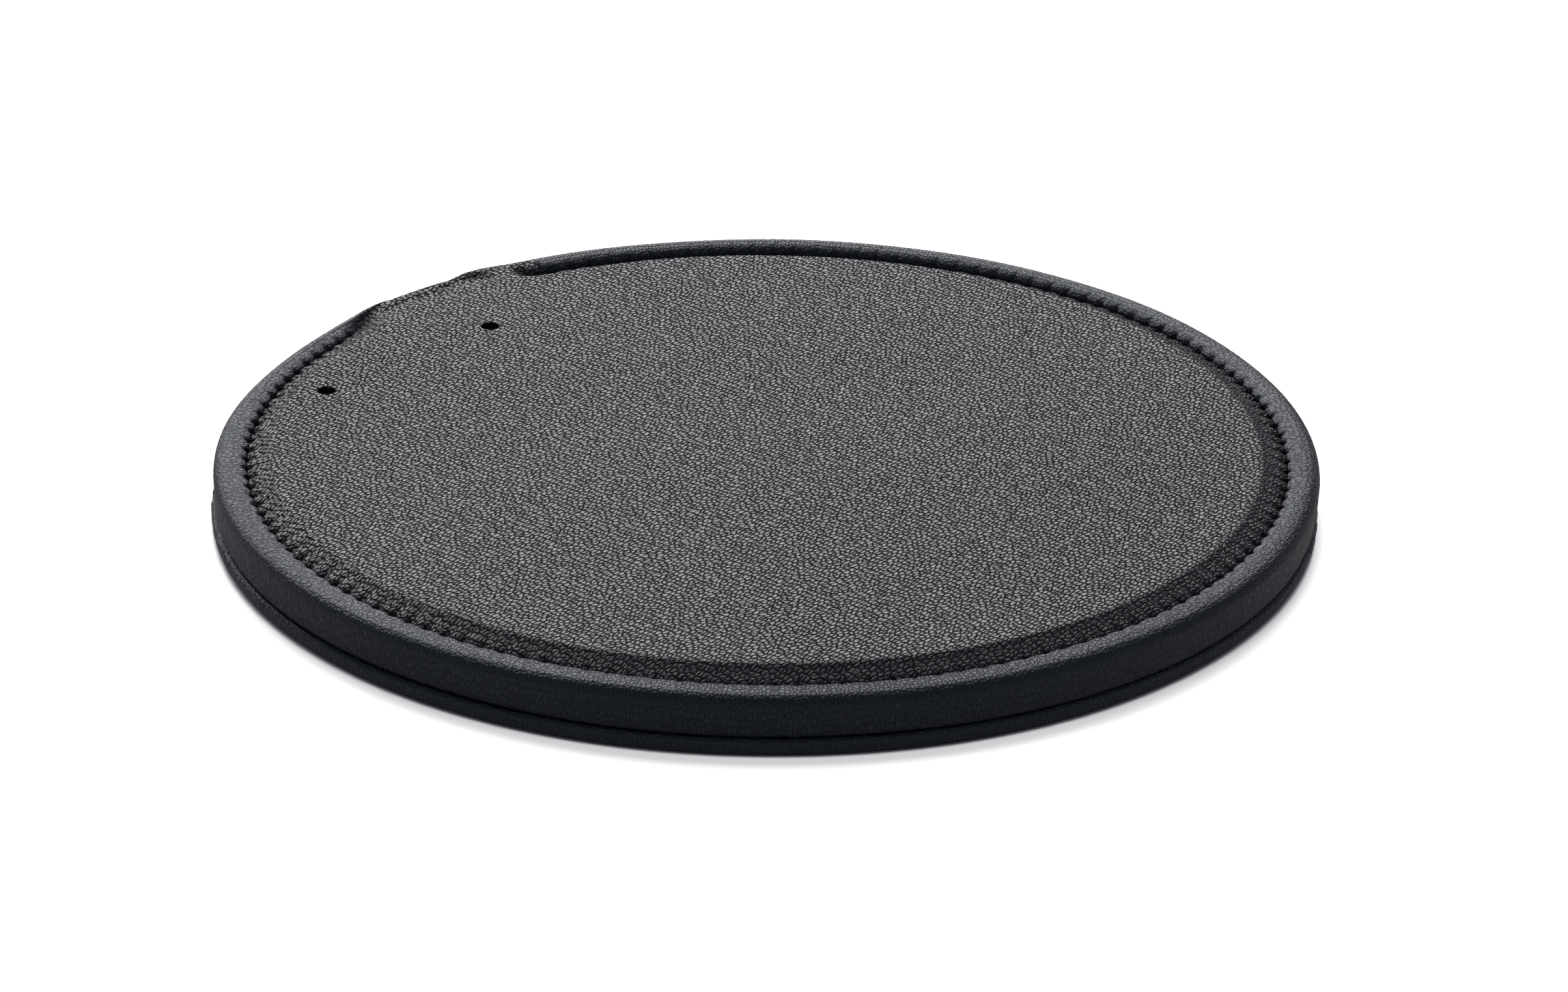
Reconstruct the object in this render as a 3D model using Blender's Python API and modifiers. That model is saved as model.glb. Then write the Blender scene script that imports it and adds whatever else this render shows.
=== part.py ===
"""Round padded leather desk mat, 200 mm across, modelled in metres with +Z up.

The mat lies on the desk with its origin under its centre, at desk level. It is made the way a
leather worker makes it: a stiff base board wrapped in leather, and on it an upper shell that is
sewn together from a round top panel and a rim band. A core board and foam fill the shell. The
band's two ends stop short of each other, and between them a tab of the top panel is folded down
over the edge, which leaves a shallow notch in the outline.
"""

import math

import bmesh
import bpy

# ---- Driving dimensions, in metres and degrees ----
DIAMETER = 0.2000            # across the rim band's wall
TOTAL_HEIGHT = 0.0128        # desk to the flat top
LEATHER = 0.0009             # thickness of every leather piece
GAP = 0.0003                 # clearance kept between neighbouring pieces

LIP_HEIGHT = 0.00355         # height of the wrapped base
LIP_PROUD = 0.00025          # how far the base stands out past the rim band
LIP_TOP_RADIUS = 0.0014
LIP_BOTTOM_RADIUS = 0.0012
TURN_IN = 0.0120             # leather turned in past the edge, on the base and on the band
BOARD_CORNER = 0.0003        # broken edge of the boards

RIM_WIDTH = 0.0059           # wall to the seam line
RIM_DROP = 0.0001            # how far the rim's top stays below the flat top
ROLL_RADIUS = 0.0024         # both corners of the rim's roll
BAND_FOOT_RADIUS = 0.0013
SEAM_DEPTH = 0.0022          # flat top down to the bottom of the seam's groove
SLOPE_WIDTH = 0.0043         # flat top's edge to the seam line
CORE_THICKNESS = 0.0020
SEAM_FOOT_CLEARANCE = 0.0005  # seam allowance to the core board
THREAD = 0.0005              # sewing thread's diameter
THREAD_DROP = 0.0009         # groove's bottom down to the thread's centre

NOTCH_ANGLE = 132.4          # direction of the notch, counted from +X towards +Y
TAB_ANGLE = 130.1            # middle of the tab
BAND_GAP = 25.0              # angle between the band's two ends
TAB_CLEARANCE = 0.3          # angle between a band end and the tab
TAB_BLEND = 4.0              # angle over which the seam's section turns into the tab's
NOTCH_SPAN = 13.0            # angle of the dip in the outline
NOTCH_DEPTH = 0.0010
NOTCH_DROP = 0.0009          # how much lower the tab's edge lies at the notch
TAB_SHOULDER = 0.0080        # width over which the tab rounds down to the wall
TAB_ROLL_DROP = 0.0043       # flat top down to where the tab's wall is upright

HOLE_RADIUS = 0.00165
HOLES = ((134.2, 0.01445), (164.2, 0.00525))  # each hole's angle, and its inset from the flat's edge

SEGMENTS = 60                # round pieces, full circle
BAND_SEGMENTS = 56           # band and its filler, end to end
TAB_SEGMENTS = 18
THREAD_POINTS = 56
ARC_POINTS = 3               # points inside each rounded corner
SLOPE_POINTS = 6             # points down the panel's slope
FLANGE_POINTS = 2            # points down the seam allowance
WELD = 0.00001

# ---- Radii worked out from the driving dimensions ----
R_WALL = DIAMETER / 2
R_LIP = R_WALL + LIP_PROUD
R_BASE_BOARD = R_LIP - LEATHER - GAP
R_CORE = R_WALL - LEATHER - GAP
R_TURN_IN = R_WALL - TURN_IN
R_SEAM = R_WALL - RIM_WIDTH
R_PANEL_FLANGE = R_SEAM - GAP / 2
R_BAND_FLANGE = R_SEAM + GAP / 2
R_FLAT = R_PANEL_FLANGE - SLOPE_WIDTH
R_NEEDLE_THREAD = R_PANEL_FLANGE - LEATHER - GAP - THREAD / 2
R_BOBBIN_THREAD = R_BAND_FLANGE + LEATHER + GAP + THREAD / 2
R_FOAM = R_NEEDLE_THREAD - THREAD / 2 - GAP
R_FILLER_INNER = R_BOBBIN_THREAD + THREAD / 2 + GAP

# ---- Levels ----
Z_BASE_BOARD = LEATHER + GAP
Z_BASE_BOARD_TOP = LIP_HEIGHT - LEATHER - GAP
Z_BAND_FOOT = LIP_HEIGHT + GAP
Z_CORE = Z_BAND_FOOT + LEATHER + GAP
Z_CORE_TOP = Z_CORE + CORE_THICKNESS
Z_FOAM = Z_CORE_TOP + GAP
Z_SEAM_FOOT = Z_CORE_TOP + SEAM_FOOT_CLEARANCE
Z_GROOVE = TOTAL_HEIGHT - SEAM_DEPTH
Z_THREAD = Z_GROOVE - THREAD_DROP
Z_RIM = TOTAL_HEIGHT - RIM_DROP

# ---- Angles of the open band and of the tab between its ends ----
BAND_START = TAB_ANGLE + BAND_GAP / 2
BAND_SWEEP = 360 - BAND_GAP
TAB_START = TAB_ANGLE - BAND_GAP / 2 + TAB_CLEARANCE
TAB_SWEEP = BAND_GAP - 2 * TAB_CLEARANCE


# ---------------------------------------------------------------- scene and helpers

def clear_scene():
    """Remove every object, so that the script starts from an empty scene."""
    for item in list(bpy.data.objects):
        bpy.data.objects.remove(item)


def new_collection(name):
    """Make a collection in the scene and return it."""
    collection = bpy.data.collections.new(name)
    bpy.context.scene.collection.children.link(collection)
    return collection


def make_material(name, colour, roughness):
    """Return a plain Principled material."""
    material = bpy.data.materials.new(name)
    material.use_nodes = True
    shader = material.node_tree.nodes["Principled BSDF"]
    shader.inputs["Base Color"].default_value = (*colour, 1.0)
    shader.inputs["Roughness"].default_value = roughness
    shader.inputs["Metallic"].default_value = 0.0
    return material


def add_object(name, mesh, collection, material):
    """Link a mesh as a named object with its material."""
    item = bpy.data.objects.new(name, mesh)
    collection.objects.link(item)
    if material is not None:
        mesh.materials.append(material)
    return item


def arc(centre_r, centre_z, radius, start, end):
    """Points of a rounded corner in the section, both ends included, angles in degrees."""
    count = ARC_POINTS + 1
    angles = [math.radians(start + (end - start) * i / count) for i in range(count + 1)]
    return [(centre_r + radius * math.cos(a), centre_z + radius * math.sin(a)) for a in angles]


def section_mesh(name, points):
    """Make a wire mesh of a section, whose points are (radius, height)."""
    mesh = bpy.data.meshes.new(name)
    edges = [(i, i + 1) for i in range(len(points) - 1)]
    mesh.from_pydata([(r, 0.0, z) for r, z in points], edges, [])
    return mesh


def turn(item, sweep, steps):
    """Turn an object's section about Z through sweep degrees."""
    screw = item.modifiers.new("Turn", "SCREW")
    screw.axis = "Z"
    screw.angle = math.radians(sweep)
    screw.steps = steps
    screw.render_steps = steps
    screw.use_merge_vertices = True
    screw.merge_threshold = WELD
    screw.use_smooth_shade = True
    screw.use_normal_calculate = False


def thicken(item, thickness):
    """Give an open skin its thickness, inwards from the skin."""
    shell = item.modifiers.new("Thickness", "SOLIDIFY")
    shell.thickness = thickness
    shell.offset = -1.0
    shell.use_even_offset = True
    shell.use_rim = True


def soften(item, width):
    """Break an object's sharp edges."""
    bevel = item.modifiers.new("Corners", "BEVEL")
    bevel.width = width
    bevel.segments = 1
    bevel.limit_method = "ANGLE"
    bevel.angle_limit = math.radians(60)


def cut(item, cutter):
    """Take a cutter's shape out of an object."""
    boolean = item.modifiers.new("Cut " + cutter.name, "BOOLEAN")
    boolean.operation = "DIFFERENCE"
    boolean.solver = "EXACT"
    boolean.object = cutter


def disc_section(radius, bottom, top):
    """Section of a plain disc, from the axis round its outer side and back."""
    return [(0.0, top), (radius, top), (radius, bottom), (0.0, bottom)]


def hide_cutter(item):
    """Show a cutter as a wire and leave it out of renders."""
    item.hide_render = True
    item.display_type = "WIRE"
    return item


# ---------------------------------------------------------------- sections of the leather pieces

def base_cover_skin():
    """Outer skin of the base cover: turned-in edge, rounded lip, underside."""
    top = arc(R_LIP - LIP_TOP_RADIUS, LIP_HEIGHT - LIP_TOP_RADIUS, LIP_TOP_RADIUS, 90, 0)
    bottom = arc(R_LIP - LIP_BOTTOM_RADIUS, LIP_BOTTOM_RADIUS, LIP_BOTTOM_RADIUS, 0, -90)
    return [(R_TURN_IN, LIP_HEIGHT), *top, *bottom, (0.0, 0.0)]


def rim_band_skin():
    """Outer skin of the rim band: seam allowance, roll, wall and turned-in foot."""
    inner = arc(R_BAND_FLANGE + ROLL_RADIUS, Z_RIM - ROLL_RADIUS, ROLL_RADIUS, 180, 90)
    outer = arc(R_WALL - ROLL_RADIUS, Z_RIM - ROLL_RADIUS, ROLL_RADIUS, 90, 0)
    foot = arc(R_WALL - BAND_FOOT_RADIUS, Z_BAND_FOOT + BAND_FOOT_RADIUS, BAND_FOOT_RADIUS, 0, -90)
    return [(R_BAND_FLANGE, Z_SEAM_FOOT), *inner, *outer, *foot, (R_TURN_IN, Z_BAND_FOOT)]


def slope_drop(share):
    """How far the top panel has dropped at a share of the slope's width, a quarter cosine."""
    return SEAM_DEPTH * (1 - math.cos(share * math.pi / 2))


def seamed_section():
    """Top panel's skin along the seam: flat's edge, slope, seam allowance turned down."""
    shares = [i / (SLOPE_POINTS - 1) for i in range(SLOPE_POINTS)]
    slope = [(R_FLAT + SLOPE_WIDTH * s, TOTAL_HEIGHT - slope_drop(s)) for s in shares]
    fall = (Z_GROOVE - Z_SEAM_FOOT) / FLANGE_POINTS
    flange = [(R_PANEL_FLANGE, Z_GROOVE - fall * (i + 1)) for i in range(FLANGE_POINTS)]
    return slope + flange


def tab_section(dip):
    """Top panel's skin across the tab: flat's edge, rounded shoulder, upright wall.

    dip runs from 0 beside the notch to 1 at its middle. The shoulder is a quarter ellipse.
    """
    wall = R_WALL - NOTCH_DEPTH * dip
    drop = NOTCH_DROP * dip
    turns = [math.radians(90 * i / (SLOPE_POINTS - 1)) for i in range(SLOPE_POINTS)]
    shoulder = [(wall - TAB_SHOULDER * (1 - math.sin(t)),
                 TOTAL_HEIGHT - TAB_ROLL_DROP * (1 - math.cos(t)) - drop * math.sin(t))
                for t in turns]
    fall = (shoulder[-1][1] - Z_BAND_FOOT) / FLANGE_POINTS
    upright = [(wall, shoulder[-1][1] - fall * (i + 1)) for i in range(FLANGE_POINTS)]
    return shoulder + upright


def smooth(share):
    """Ease from 0 to 1 with no corner at either end."""
    share = min(max(share, 0.0), 1.0)
    return share * share * (3 - 2 * share)


def panel_section(angle):
    """Top panel's skin at an angle: the seam's section, the tab's, or a mix between them."""
    from_notch = abs((angle - NOTCH_ANGLE + 180) % 360 - 180)
    from_tab = abs((angle - TAB_ANGLE + 180) % 360 - 180)
    dip = math.cos(min(from_notch / (NOTCH_SPAN / 2), 1.0) * math.pi / 2) ** 2
    weight = smooth((TAB_SWEEP / 2 - from_tab) / TAB_BLEND)
    pairs = zip(seamed_section(), tab_section(dip))
    return [(s[0] + (t[0] - s[0]) * weight, s[1] + (t[1] - s[1]) * weight) for s, t in pairs]


def panel_angles():
    """Angles round the top panel: even steps along the seam, finer ones across the tab."""
    seam_sweep = 360 - TAB_SWEEP
    tab = [TAB_START + TAB_SWEEP * i / TAB_SEGMENTS for i in range(TAB_SEGMENTS)]
    seam = [TAB_START + TAB_SWEEP + seam_sweep * i / BAND_SEGMENTS for i in range(BAND_SEGMENTS)]
    return tab + seam


# ---------------------------------------------------------------- pieces

def make_base_cover(collection, material):
    """Leather cup round the base board, with its edge turned in on top."""
    item = add_object("base_cover", section_mesh("base_cover", base_cover_skin()), collection, material)
    turn(item, 360, SEGMENTS)
    thicken(item, LEATHER)
    return item


def make_disc(name, radius, bottom, top, collection, material):
    """Board, card or pad: a plain disc with broken edges."""
    item = add_object(name, section_mesh(name, disc_section(radius, bottom, top)), collection, material)
    turn(item, 360, SEGMENTS)
    soften(item, BOARD_CORNER)
    return item


def make_top_foam(collection, material):
    """Foam pad under the top panel, following its slope at leather's thickness plus the gap."""
    reach = (R_FOAM - R_FLAT) / SLOPE_WIDTH
    shares = [reach * i / ARC_POINTS for i in range(ARC_POINTS + 1)]
    slope = []
    for share in shares:
        lean = math.atan(SEAM_DEPTH * math.pi / 2 * math.sin(share * math.pi / 2) / SLOPE_WIDTH)
        top = TOTAL_HEIGHT - slope_drop(share) - (LEATHER + GAP) / math.cos(lean)
        slope.append((R_FLAT + SLOPE_WIDTH * share, top))
    section = [(0.0, slope[0][1]), *slope, (R_FOAM, Z_FOAM), (0.0, Z_FOAM)]
    item = add_object("top_foam", section_mesh("top_foam", section), collection, material)
    turn(item, 360, SEGMENTS)
    return item


def make_rim_band(collection, material):
    """Leather band round the edge, open between its two ends."""
    item = add_object("rim_band", section_mesh("rim_band", rim_band_skin()), collection, material)
    item.rotation_euler.z = math.radians(BAND_START)
    turn(item, BAND_SWEEP, BAND_SEGMENTS)
    thicken(item, LEATHER)
    return item


def make_rim_filler(collection, material):
    """Foam strip that fills the rim's roll, a ring sector as long as the band."""
    mesh = bpy.data.meshes.new("rim_filler")
    build = bmesh.new()
    outer = R_WALL - LEATHER - GAP
    corner = ROLL_RADIUS - LEATHER - GAP
    top = Z_RIM - LEATHER - GAP
    shoulder = arc(outer - corner, top - corner, corner, 90, 0)
    section = [(R_FILLER_INNER, top), *shoulder, (outer, Z_FOAM), (R_FILLER_INNER, Z_FOAM)]
    face = build.faces.new([build.verts.new((r, 0.0, z)) for r, z in section])
    bmesh.ops.spin(build, geom=[face], cent=(0, 0, 0), axis=(0, 0, 1), steps=BAND_SEGMENTS,
                   angle=math.radians(BAND_SWEEP), use_merge=False, use_duplicate=False)
    bmesh.ops.recalc_face_normals(build, faces=build.faces)
    build.to_mesh(mesh)
    build.free()
    item = add_object("rim_filler", mesh, collection, material)
    item.rotation_euler.z = math.radians(BAND_START)
    return item


def make_top_panel(collection, material):
    """Round leather panel lofted through its sections, with the tab that folds over the edge."""
    mesh = bpy.data.meshes.new("top_panel")
    build = bmesh.new()
    rings = []
    for angle in panel_angles():
        turned = math.radians(angle)
        section = panel_section(angle)
        rings.append([build.verts.new((r * math.cos(turned), r * math.sin(turned), z)) for r, z in section])
    centre = build.verts.new((0.0, 0.0, TOTAL_HEIGHT))
    for here, after in zip(rings, rings[1:] + rings[:1]):
        build.faces.new((centre, here[0], after[0]))
        for i in range(len(here) - 1):
            build.faces.new((here[i], here[i + 1], after[i + 1], after[i]))
    build.to_mesh(mesh)
    build.free()
    item = add_object("top_panel", mesh, collection, material)
    thicken(item, LEATHER)
    return item


def make_thread(name, radius, collection, material):
    """Sewing thread along one side of the seam, from one band end to the other."""
    curve = bpy.data.curves.new(name, "CURVE")
    curve.dimensions = "3D"
    curve.bevel_depth = THREAD / 2
    curve.bevel_resolution = 1
    curve.use_fill_caps = True
    spline = curve.splines.new("POLY")
    spline.points.add(THREAD_POINTS)
    for i, point in enumerate(spline.points):
        angle = math.radians(BAND_START + BAND_SWEEP * i / THREAD_POINTS)
        point.co = (radius * math.cos(angle), radius * math.sin(angle), Z_THREAD, 1.0)
    item = bpy.data.objects.new(name, curve)
    collection.objects.link(item)
    curve.materials.append(material)
    return item


# ---------------------------------------------------------------- cutters

def make_hole_cutter(name, angle, inset, collection):
    """Cylinder for one vent hole, from the core board to above the flat top."""
    mesh = bpy.data.meshes.new(name)
    build = bmesh.new()
    height = TOTAL_HEIGHT - Z_FOAM + 2 * GAP
    bmesh.ops.create_cone(build, cap_ends=True, segments=16, radius1=HOLE_RADIUS,
                          radius2=HOLE_RADIUS, depth=height)
    build.to_mesh(mesh)
    build.free()
    item = hide_cutter(add_object(name, mesh, collection, None))
    radius = R_FLAT - inset
    turned = math.radians(angle)
    item.location = (radius * math.cos(turned), radius * math.sin(turned), Z_FOAM - GAP + height / 2)
    return item


def make_notch_cutter(collection):
    """Block that clears the core board from behind the tab, as wide as the band's opening."""
    mesh = bpy.data.meshes.new("notch_cutter")
    build = bmesh.new()
    bmesh.ops.create_cube(build, size=1.0)
    half_gap = math.radians(BAND_GAP / 2)
    flat = (R_PANEL_FLANGE - LEATHER - GAP) * math.cos(half_gap)
    for vert in build.verts:
        vert.co.x = flat + (vert.co.x + 0.5) * DIAMETER
        vert.co.y *= DIAMETER * math.sin(half_gap)
        vert.co.z = Z_CORE + CORE_THICKNESS / 2 + vert.co.z * CORE_THICKNESS * 2
    build.to_mesh(mesh)
    build.free()
    item = hide_cutter(add_object("notch_cutter", mesh, collection, None))
    item.rotation_euler.z = math.radians(TAB_ANGLE)
    return item


def main():
    """Build the mat and its cutters."""
    clear_scene()
    parts = new_collection("desk_mat")
    cutters = new_collection("cutters")
    top_leather = make_material("top_leather", (0.035, 0.036, 0.039), 0.55)
    rim_leather = make_material("rim_leather", (0.016, 0.018, 0.024), 0.50)
    base_leather = make_material("base_leather", (0.014, 0.015, 0.018), 0.60)
    board = make_material("board", (0.33, 0.26, 0.19), 0.85)
    card = make_material("card", (0.45, 0.42, 0.37), 0.90)
    foam = make_material("foam", (0.60, 0.58, 0.53), 0.95)
    thread = make_material("thread", (0.012, 0.012, 0.014), 0.70)

    make_base_cover(parts, base_leather)
    make_disc("base_board", R_BASE_BOARD, Z_BASE_BOARD, Z_BASE_BOARD_TOP, parts, board)
    make_disc("filler_card", R_TURN_IN - GAP, Z_BASE_BOARD_TOP + GAP, Z_CORE - GAP, parts, card)
    core_board = make_disc("core_board", R_CORE, Z_CORE, Z_CORE_TOP, parts, board)
    top_foam = make_top_foam(parts, foam)
    make_rim_filler(parts, foam)
    make_rim_band(parts, rim_leather)
    top_panel = make_top_panel(parts, top_leather)
    make_thread("needle_thread", R_NEEDLE_THREAD, parts, thread)
    make_thread("bobbin_thread", R_BOBBIN_THREAD, parts, thread)

    cut(core_board, make_notch_cutter(cutters))
    for number, (angle, inset) in enumerate(HOLES, start=1):
        cutter = make_hole_cutter(f"vent_cutter_{number}", angle, inset, cutters)
        cut(top_foam, cutter)
        cut(top_panel, cutter)


main()
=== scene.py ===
"""Looks of a round padded leather desk mat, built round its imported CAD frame.

The mat is a sewn upper shell on a leather-wrapped base. The visible leather is worked out here
with numpy, ring by ring or section by section: the top panel with its slope, seam allowance and
folded tab, the rim band with a dimple at every stitch, and the base cover with its gathered lip.
"""

import logging
import math
from dataclasses import dataclass
from enum import Enum

import bmesh  # noqa: E402
import bpy  # noqa: E402
import numpy as np  # noqa: E402
from mathutils import Matrix, Vector  # noqa: E402

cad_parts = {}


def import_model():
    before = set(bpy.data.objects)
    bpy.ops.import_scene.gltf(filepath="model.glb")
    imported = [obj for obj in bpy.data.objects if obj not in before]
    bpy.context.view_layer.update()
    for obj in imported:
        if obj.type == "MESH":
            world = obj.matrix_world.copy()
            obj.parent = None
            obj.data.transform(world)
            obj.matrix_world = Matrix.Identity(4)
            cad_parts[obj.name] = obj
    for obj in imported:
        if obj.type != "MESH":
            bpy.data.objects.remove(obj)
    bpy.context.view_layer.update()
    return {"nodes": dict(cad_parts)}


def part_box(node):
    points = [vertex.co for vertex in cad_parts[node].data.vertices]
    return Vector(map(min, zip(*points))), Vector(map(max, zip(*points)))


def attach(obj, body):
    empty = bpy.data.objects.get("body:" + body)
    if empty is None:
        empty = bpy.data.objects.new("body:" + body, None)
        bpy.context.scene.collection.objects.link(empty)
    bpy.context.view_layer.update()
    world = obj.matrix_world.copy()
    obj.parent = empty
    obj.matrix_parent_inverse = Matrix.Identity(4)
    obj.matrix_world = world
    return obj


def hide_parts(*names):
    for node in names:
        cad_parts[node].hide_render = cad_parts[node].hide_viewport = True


LOG = logging.getLogger("desk_mat")
MM = 0.001
BODY = "root"
REDUCE = 8                   # fine ring points to each coarse ring point
Pair = tuple[float, float]


# ---------------------------------------------------------------- number helpers

def ease(value: np.ndarray, start: float, end: float) -> np.ndarray:
    """Smooth step from 0 at start to 1 at end, which may be the smaller of the two.

    Args:
        value: Positions to ease.
        start: Where the step begins.
        end: Where the step is complete.

    Returns:
        Values from 0 to 1.
    """
    share = np.clip((value - start) / (end - start), 0.0, 1.0)
    return share * share * (3.0 - 2.0 * share)


def hump(value: np.ndarray, centre: float, half_width: float) -> np.ndarray:
    """Raised cosine: 1 at centre and 0 past half_width on either side."""
    share = np.clip(np.abs(value - centre) / half_width, 0.0, 1.0)
    return 0.5 + 0.5 * np.cos(np.pi * share)


def bell(value: np.ndarray, width: float) -> np.ndarray:
    """Gaussian bell of the given width."""
    return np.exp(-((value / width) ** 2))


def ripple(angle: np.ndarray, low: int, high: int, count: int, seed: int) -> np.ndarray:
    """Sum of sines with whole numbers of waves in a turn, so that it closes on itself.

    Args:
        angle: Angles in degrees.
        low: Fewest waves in a turn.
        high: Most waves in a turn.
        count: How many sines are added.
        seed: Seed of their wave numbers and phases.

    Returns:
        Values of about -1 to 1.
    """
    rng = np.random.default_rng(seed)
    waves = rng.integers(low, high + 1, count)
    phases = rng.uniform(0.0, 2.0 * np.pi, count)
    turns = np.radians(angle)[..., None] * waves + phases
    return np.sin(turns).sum(-1) / math.sqrt(count)


def undulation(x: np.ndarray, y: np.ndarray, wavelength: float, count: int, seed: int) -> np.ndarray:
    """Sum of plane waves that run in random directions.

    Args:
        x: Positions along X in metres.
        y: Positions along Y in metres.
        wavelength: Usual length of a wave in metres.
        count: How many waves are added.
        seed: Seed of their headings, lengths and phases.

    Returns:
        Values of about -1 to 1.
    """
    rng = np.random.default_rng(seed)
    heading = rng.uniform(0.0, 2.0 * np.pi, count)
    length = wavelength * rng.uniform(0.7, 1.5, count)
    phase = rng.uniform(0.0, 2.0 * np.pi, count)
    along = x[..., None] * np.cos(heading) + y[..., None] * np.sin(heading)
    return np.sin(2.0 * np.pi * along / length + phase).sum(-1) / math.sqrt(count)


def to_points(angle: np.ndarray, radius: np.ndarray, height: np.ndarray) -> np.ndarray:
    """Turn angles in degrees, radii and heights into points.

    Args:
        angle: Angles in degrees.
        radius: Distances from the Z axis.
        height: Heights. All three are stretched to one shape, as numpy does in a sum.

    Returns:
        Array whose last axis holds x, y and z.
    """
    turned, radius, height = np.broadcast_arrays(np.radians(angle), radius, height)
    return np.stack([radius * np.cos(turned), radius * np.sin(turned), height], axis=-1)


# ---------------------------------------------------------------- mesh building

class Skin:
    """Collects rings and strips of points and the faces between them, as whole arrays."""

    def __init__(self) -> None:
        """Start with no points and no faces."""
        self.points: list[np.ndarray] = []
        self.faces: list[list[int]] = []
        self.total = 0

    def add(self, points: np.ndarray) -> np.ndarray:
        """Add points of any array shape.

        Args:
            points: Array whose last axis holds x, y and z.

        Returns:
            The points' indices, in the same shape.
        """
        shape = points.shape[:-1]
        count = int(np.prod(shape))
        self.points.append(points.reshape(-1, 3))
        indices = np.arange(self.total, self.total + count).reshape(shape)
        self.total += count
        return indices

    def quads(self, grid: np.ndarray, closed: bool) -> None:
        """Fill a grid of indices with quads.

        Args:
            grid: Indices, one section to a row.
            closed: Whether the last row joins the first.
        """
        after = np.roll(grid, -1, axis=0) if closed else grid[1:]
        here = grid if closed else grid[:-1]
        faces = np.stack([here[:, :-1], after[:, :-1], after[:, 1:], here[:, 1:]], axis=-1)
        self.faces.extend(faces.reshape(-1, 4).tolist())

    def reduce(self, fine: np.ndarray, coarse: np.ndarray) -> None:
        """Join a fine closed ring to a coarse one with triangles.

        Args:
            fine: Indices of the fine ring, REDUCE of them to each coarse one.
            coarse: Indices of the coarse ring.
        """
        fans = fine.reshape(-1, REDUCE)
        ahead = np.concatenate([fans, np.roll(fans[:, :1], -1, axis=0)], axis=1)
        follower = np.roll(coarse, -1)
        half = REDUCE // 2
        first = [np.stack([coarse, ahead[:, k], ahead[:, k + 1]], -1) for k in range(half)]
        second = [np.stack([follower, ahead[:, k], ahead[:, k + 1]], -1) for k in range(half, REDUCE)]
        middle = [np.stack([coarse, ahead[:, half], follower], -1)]
        self.faces.extend(np.concatenate(first + second + middle).tolist())

    def fan(self, ring: np.ndarray, centre: int) -> None:
        """Close a ring with triangles that meet at one point.

        Args:
            ring: Indices of the ring.
            centre: Index of the point.
        """
        follower = np.roll(ring, -1)
        middle = np.full_like(ring, centre)
        self.faces.extend(np.stack([ring, follower, middle], -1).tolist())

    def cap_ends(self, grid: np.ndarray) -> None:
        """Close the first and the last row of a grid of indices, each with one face."""
        self.faces.extend([grid[0].tolist(), grid[-1].tolist()])

    def tube(self, points: np.ndarray) -> None:
        """Add a closed section carried along a path, with capped ends.

        Args:
            points: The path's sections, one to a row.
        """
        grid = self.add(points)
        self.quads(np.concatenate([grid, grid[:, :1]], axis=1), closed=False)
        self.cap_ends(grid)

    def sheet(self, points: np.ndarray, upper: np.ndarray, lower: np.ndarray) -> None:
        """Add a strip that starts and ends on points already there, and cap its ends.

        Args:
            points: The strip's new points, one section to a row.
            upper: Indices that each section starts from.
            lower: Indices that each section ends on.
        """
        grid = np.concatenate([upper[:, None], self.add(points), lower[:, None]], axis=1)
        self.quads(grid, closed=False)
        self.cap_ends(grid)

    def build(self, name: str, parts: bpy.types.Collection) -> bpy.types.Object:
        """Make the mesh and its object, with faces pointing outwards and smooth shading.

        Args:
            name: The piece's name.
            parts: Collection that the piece goes in.

        Returns:
            The new object.
        """
        mesh = bpy.data.meshes.new(name)
        mesh.from_pydata(np.concatenate(self.points).tolist(), [], self.faces)
        work = bmesh.new()
        work.from_mesh(mesh)
        bmesh.ops.recalc_face_normals(work, faces=work.faces)
        work.to_mesh(mesh)
        work.free()
        mesh.shade_smooth()
        item = bpy.data.objects.new(name, mesh)
        parts.objects.link(item)
        return item


def bore(item: bpy.types.Object, cutters: list[bpy.types.Object]) -> None:
    """Cut holes in a piece and keep the result as its mesh.

    Args:
        item: The piece.
        cutters: Closed solids to take away from it.
    """
    for cutter in cutters:
        boolean = item.modifiers.new("Hole", "BOOLEAN")
        boolean.operation = "DIFFERENCE"
        boolean.solver = "EXACT"
        boolean.object = cutter
    graph = bpy.context.evaluated_depsgraph_get()
    cut = bpy.data.meshes.new_from_object(item.evaluated_get(graph))
    item.modifiers.clear()
    item.data = cut


# ---------------------------------------------------------------- shared sizes and shape

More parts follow.
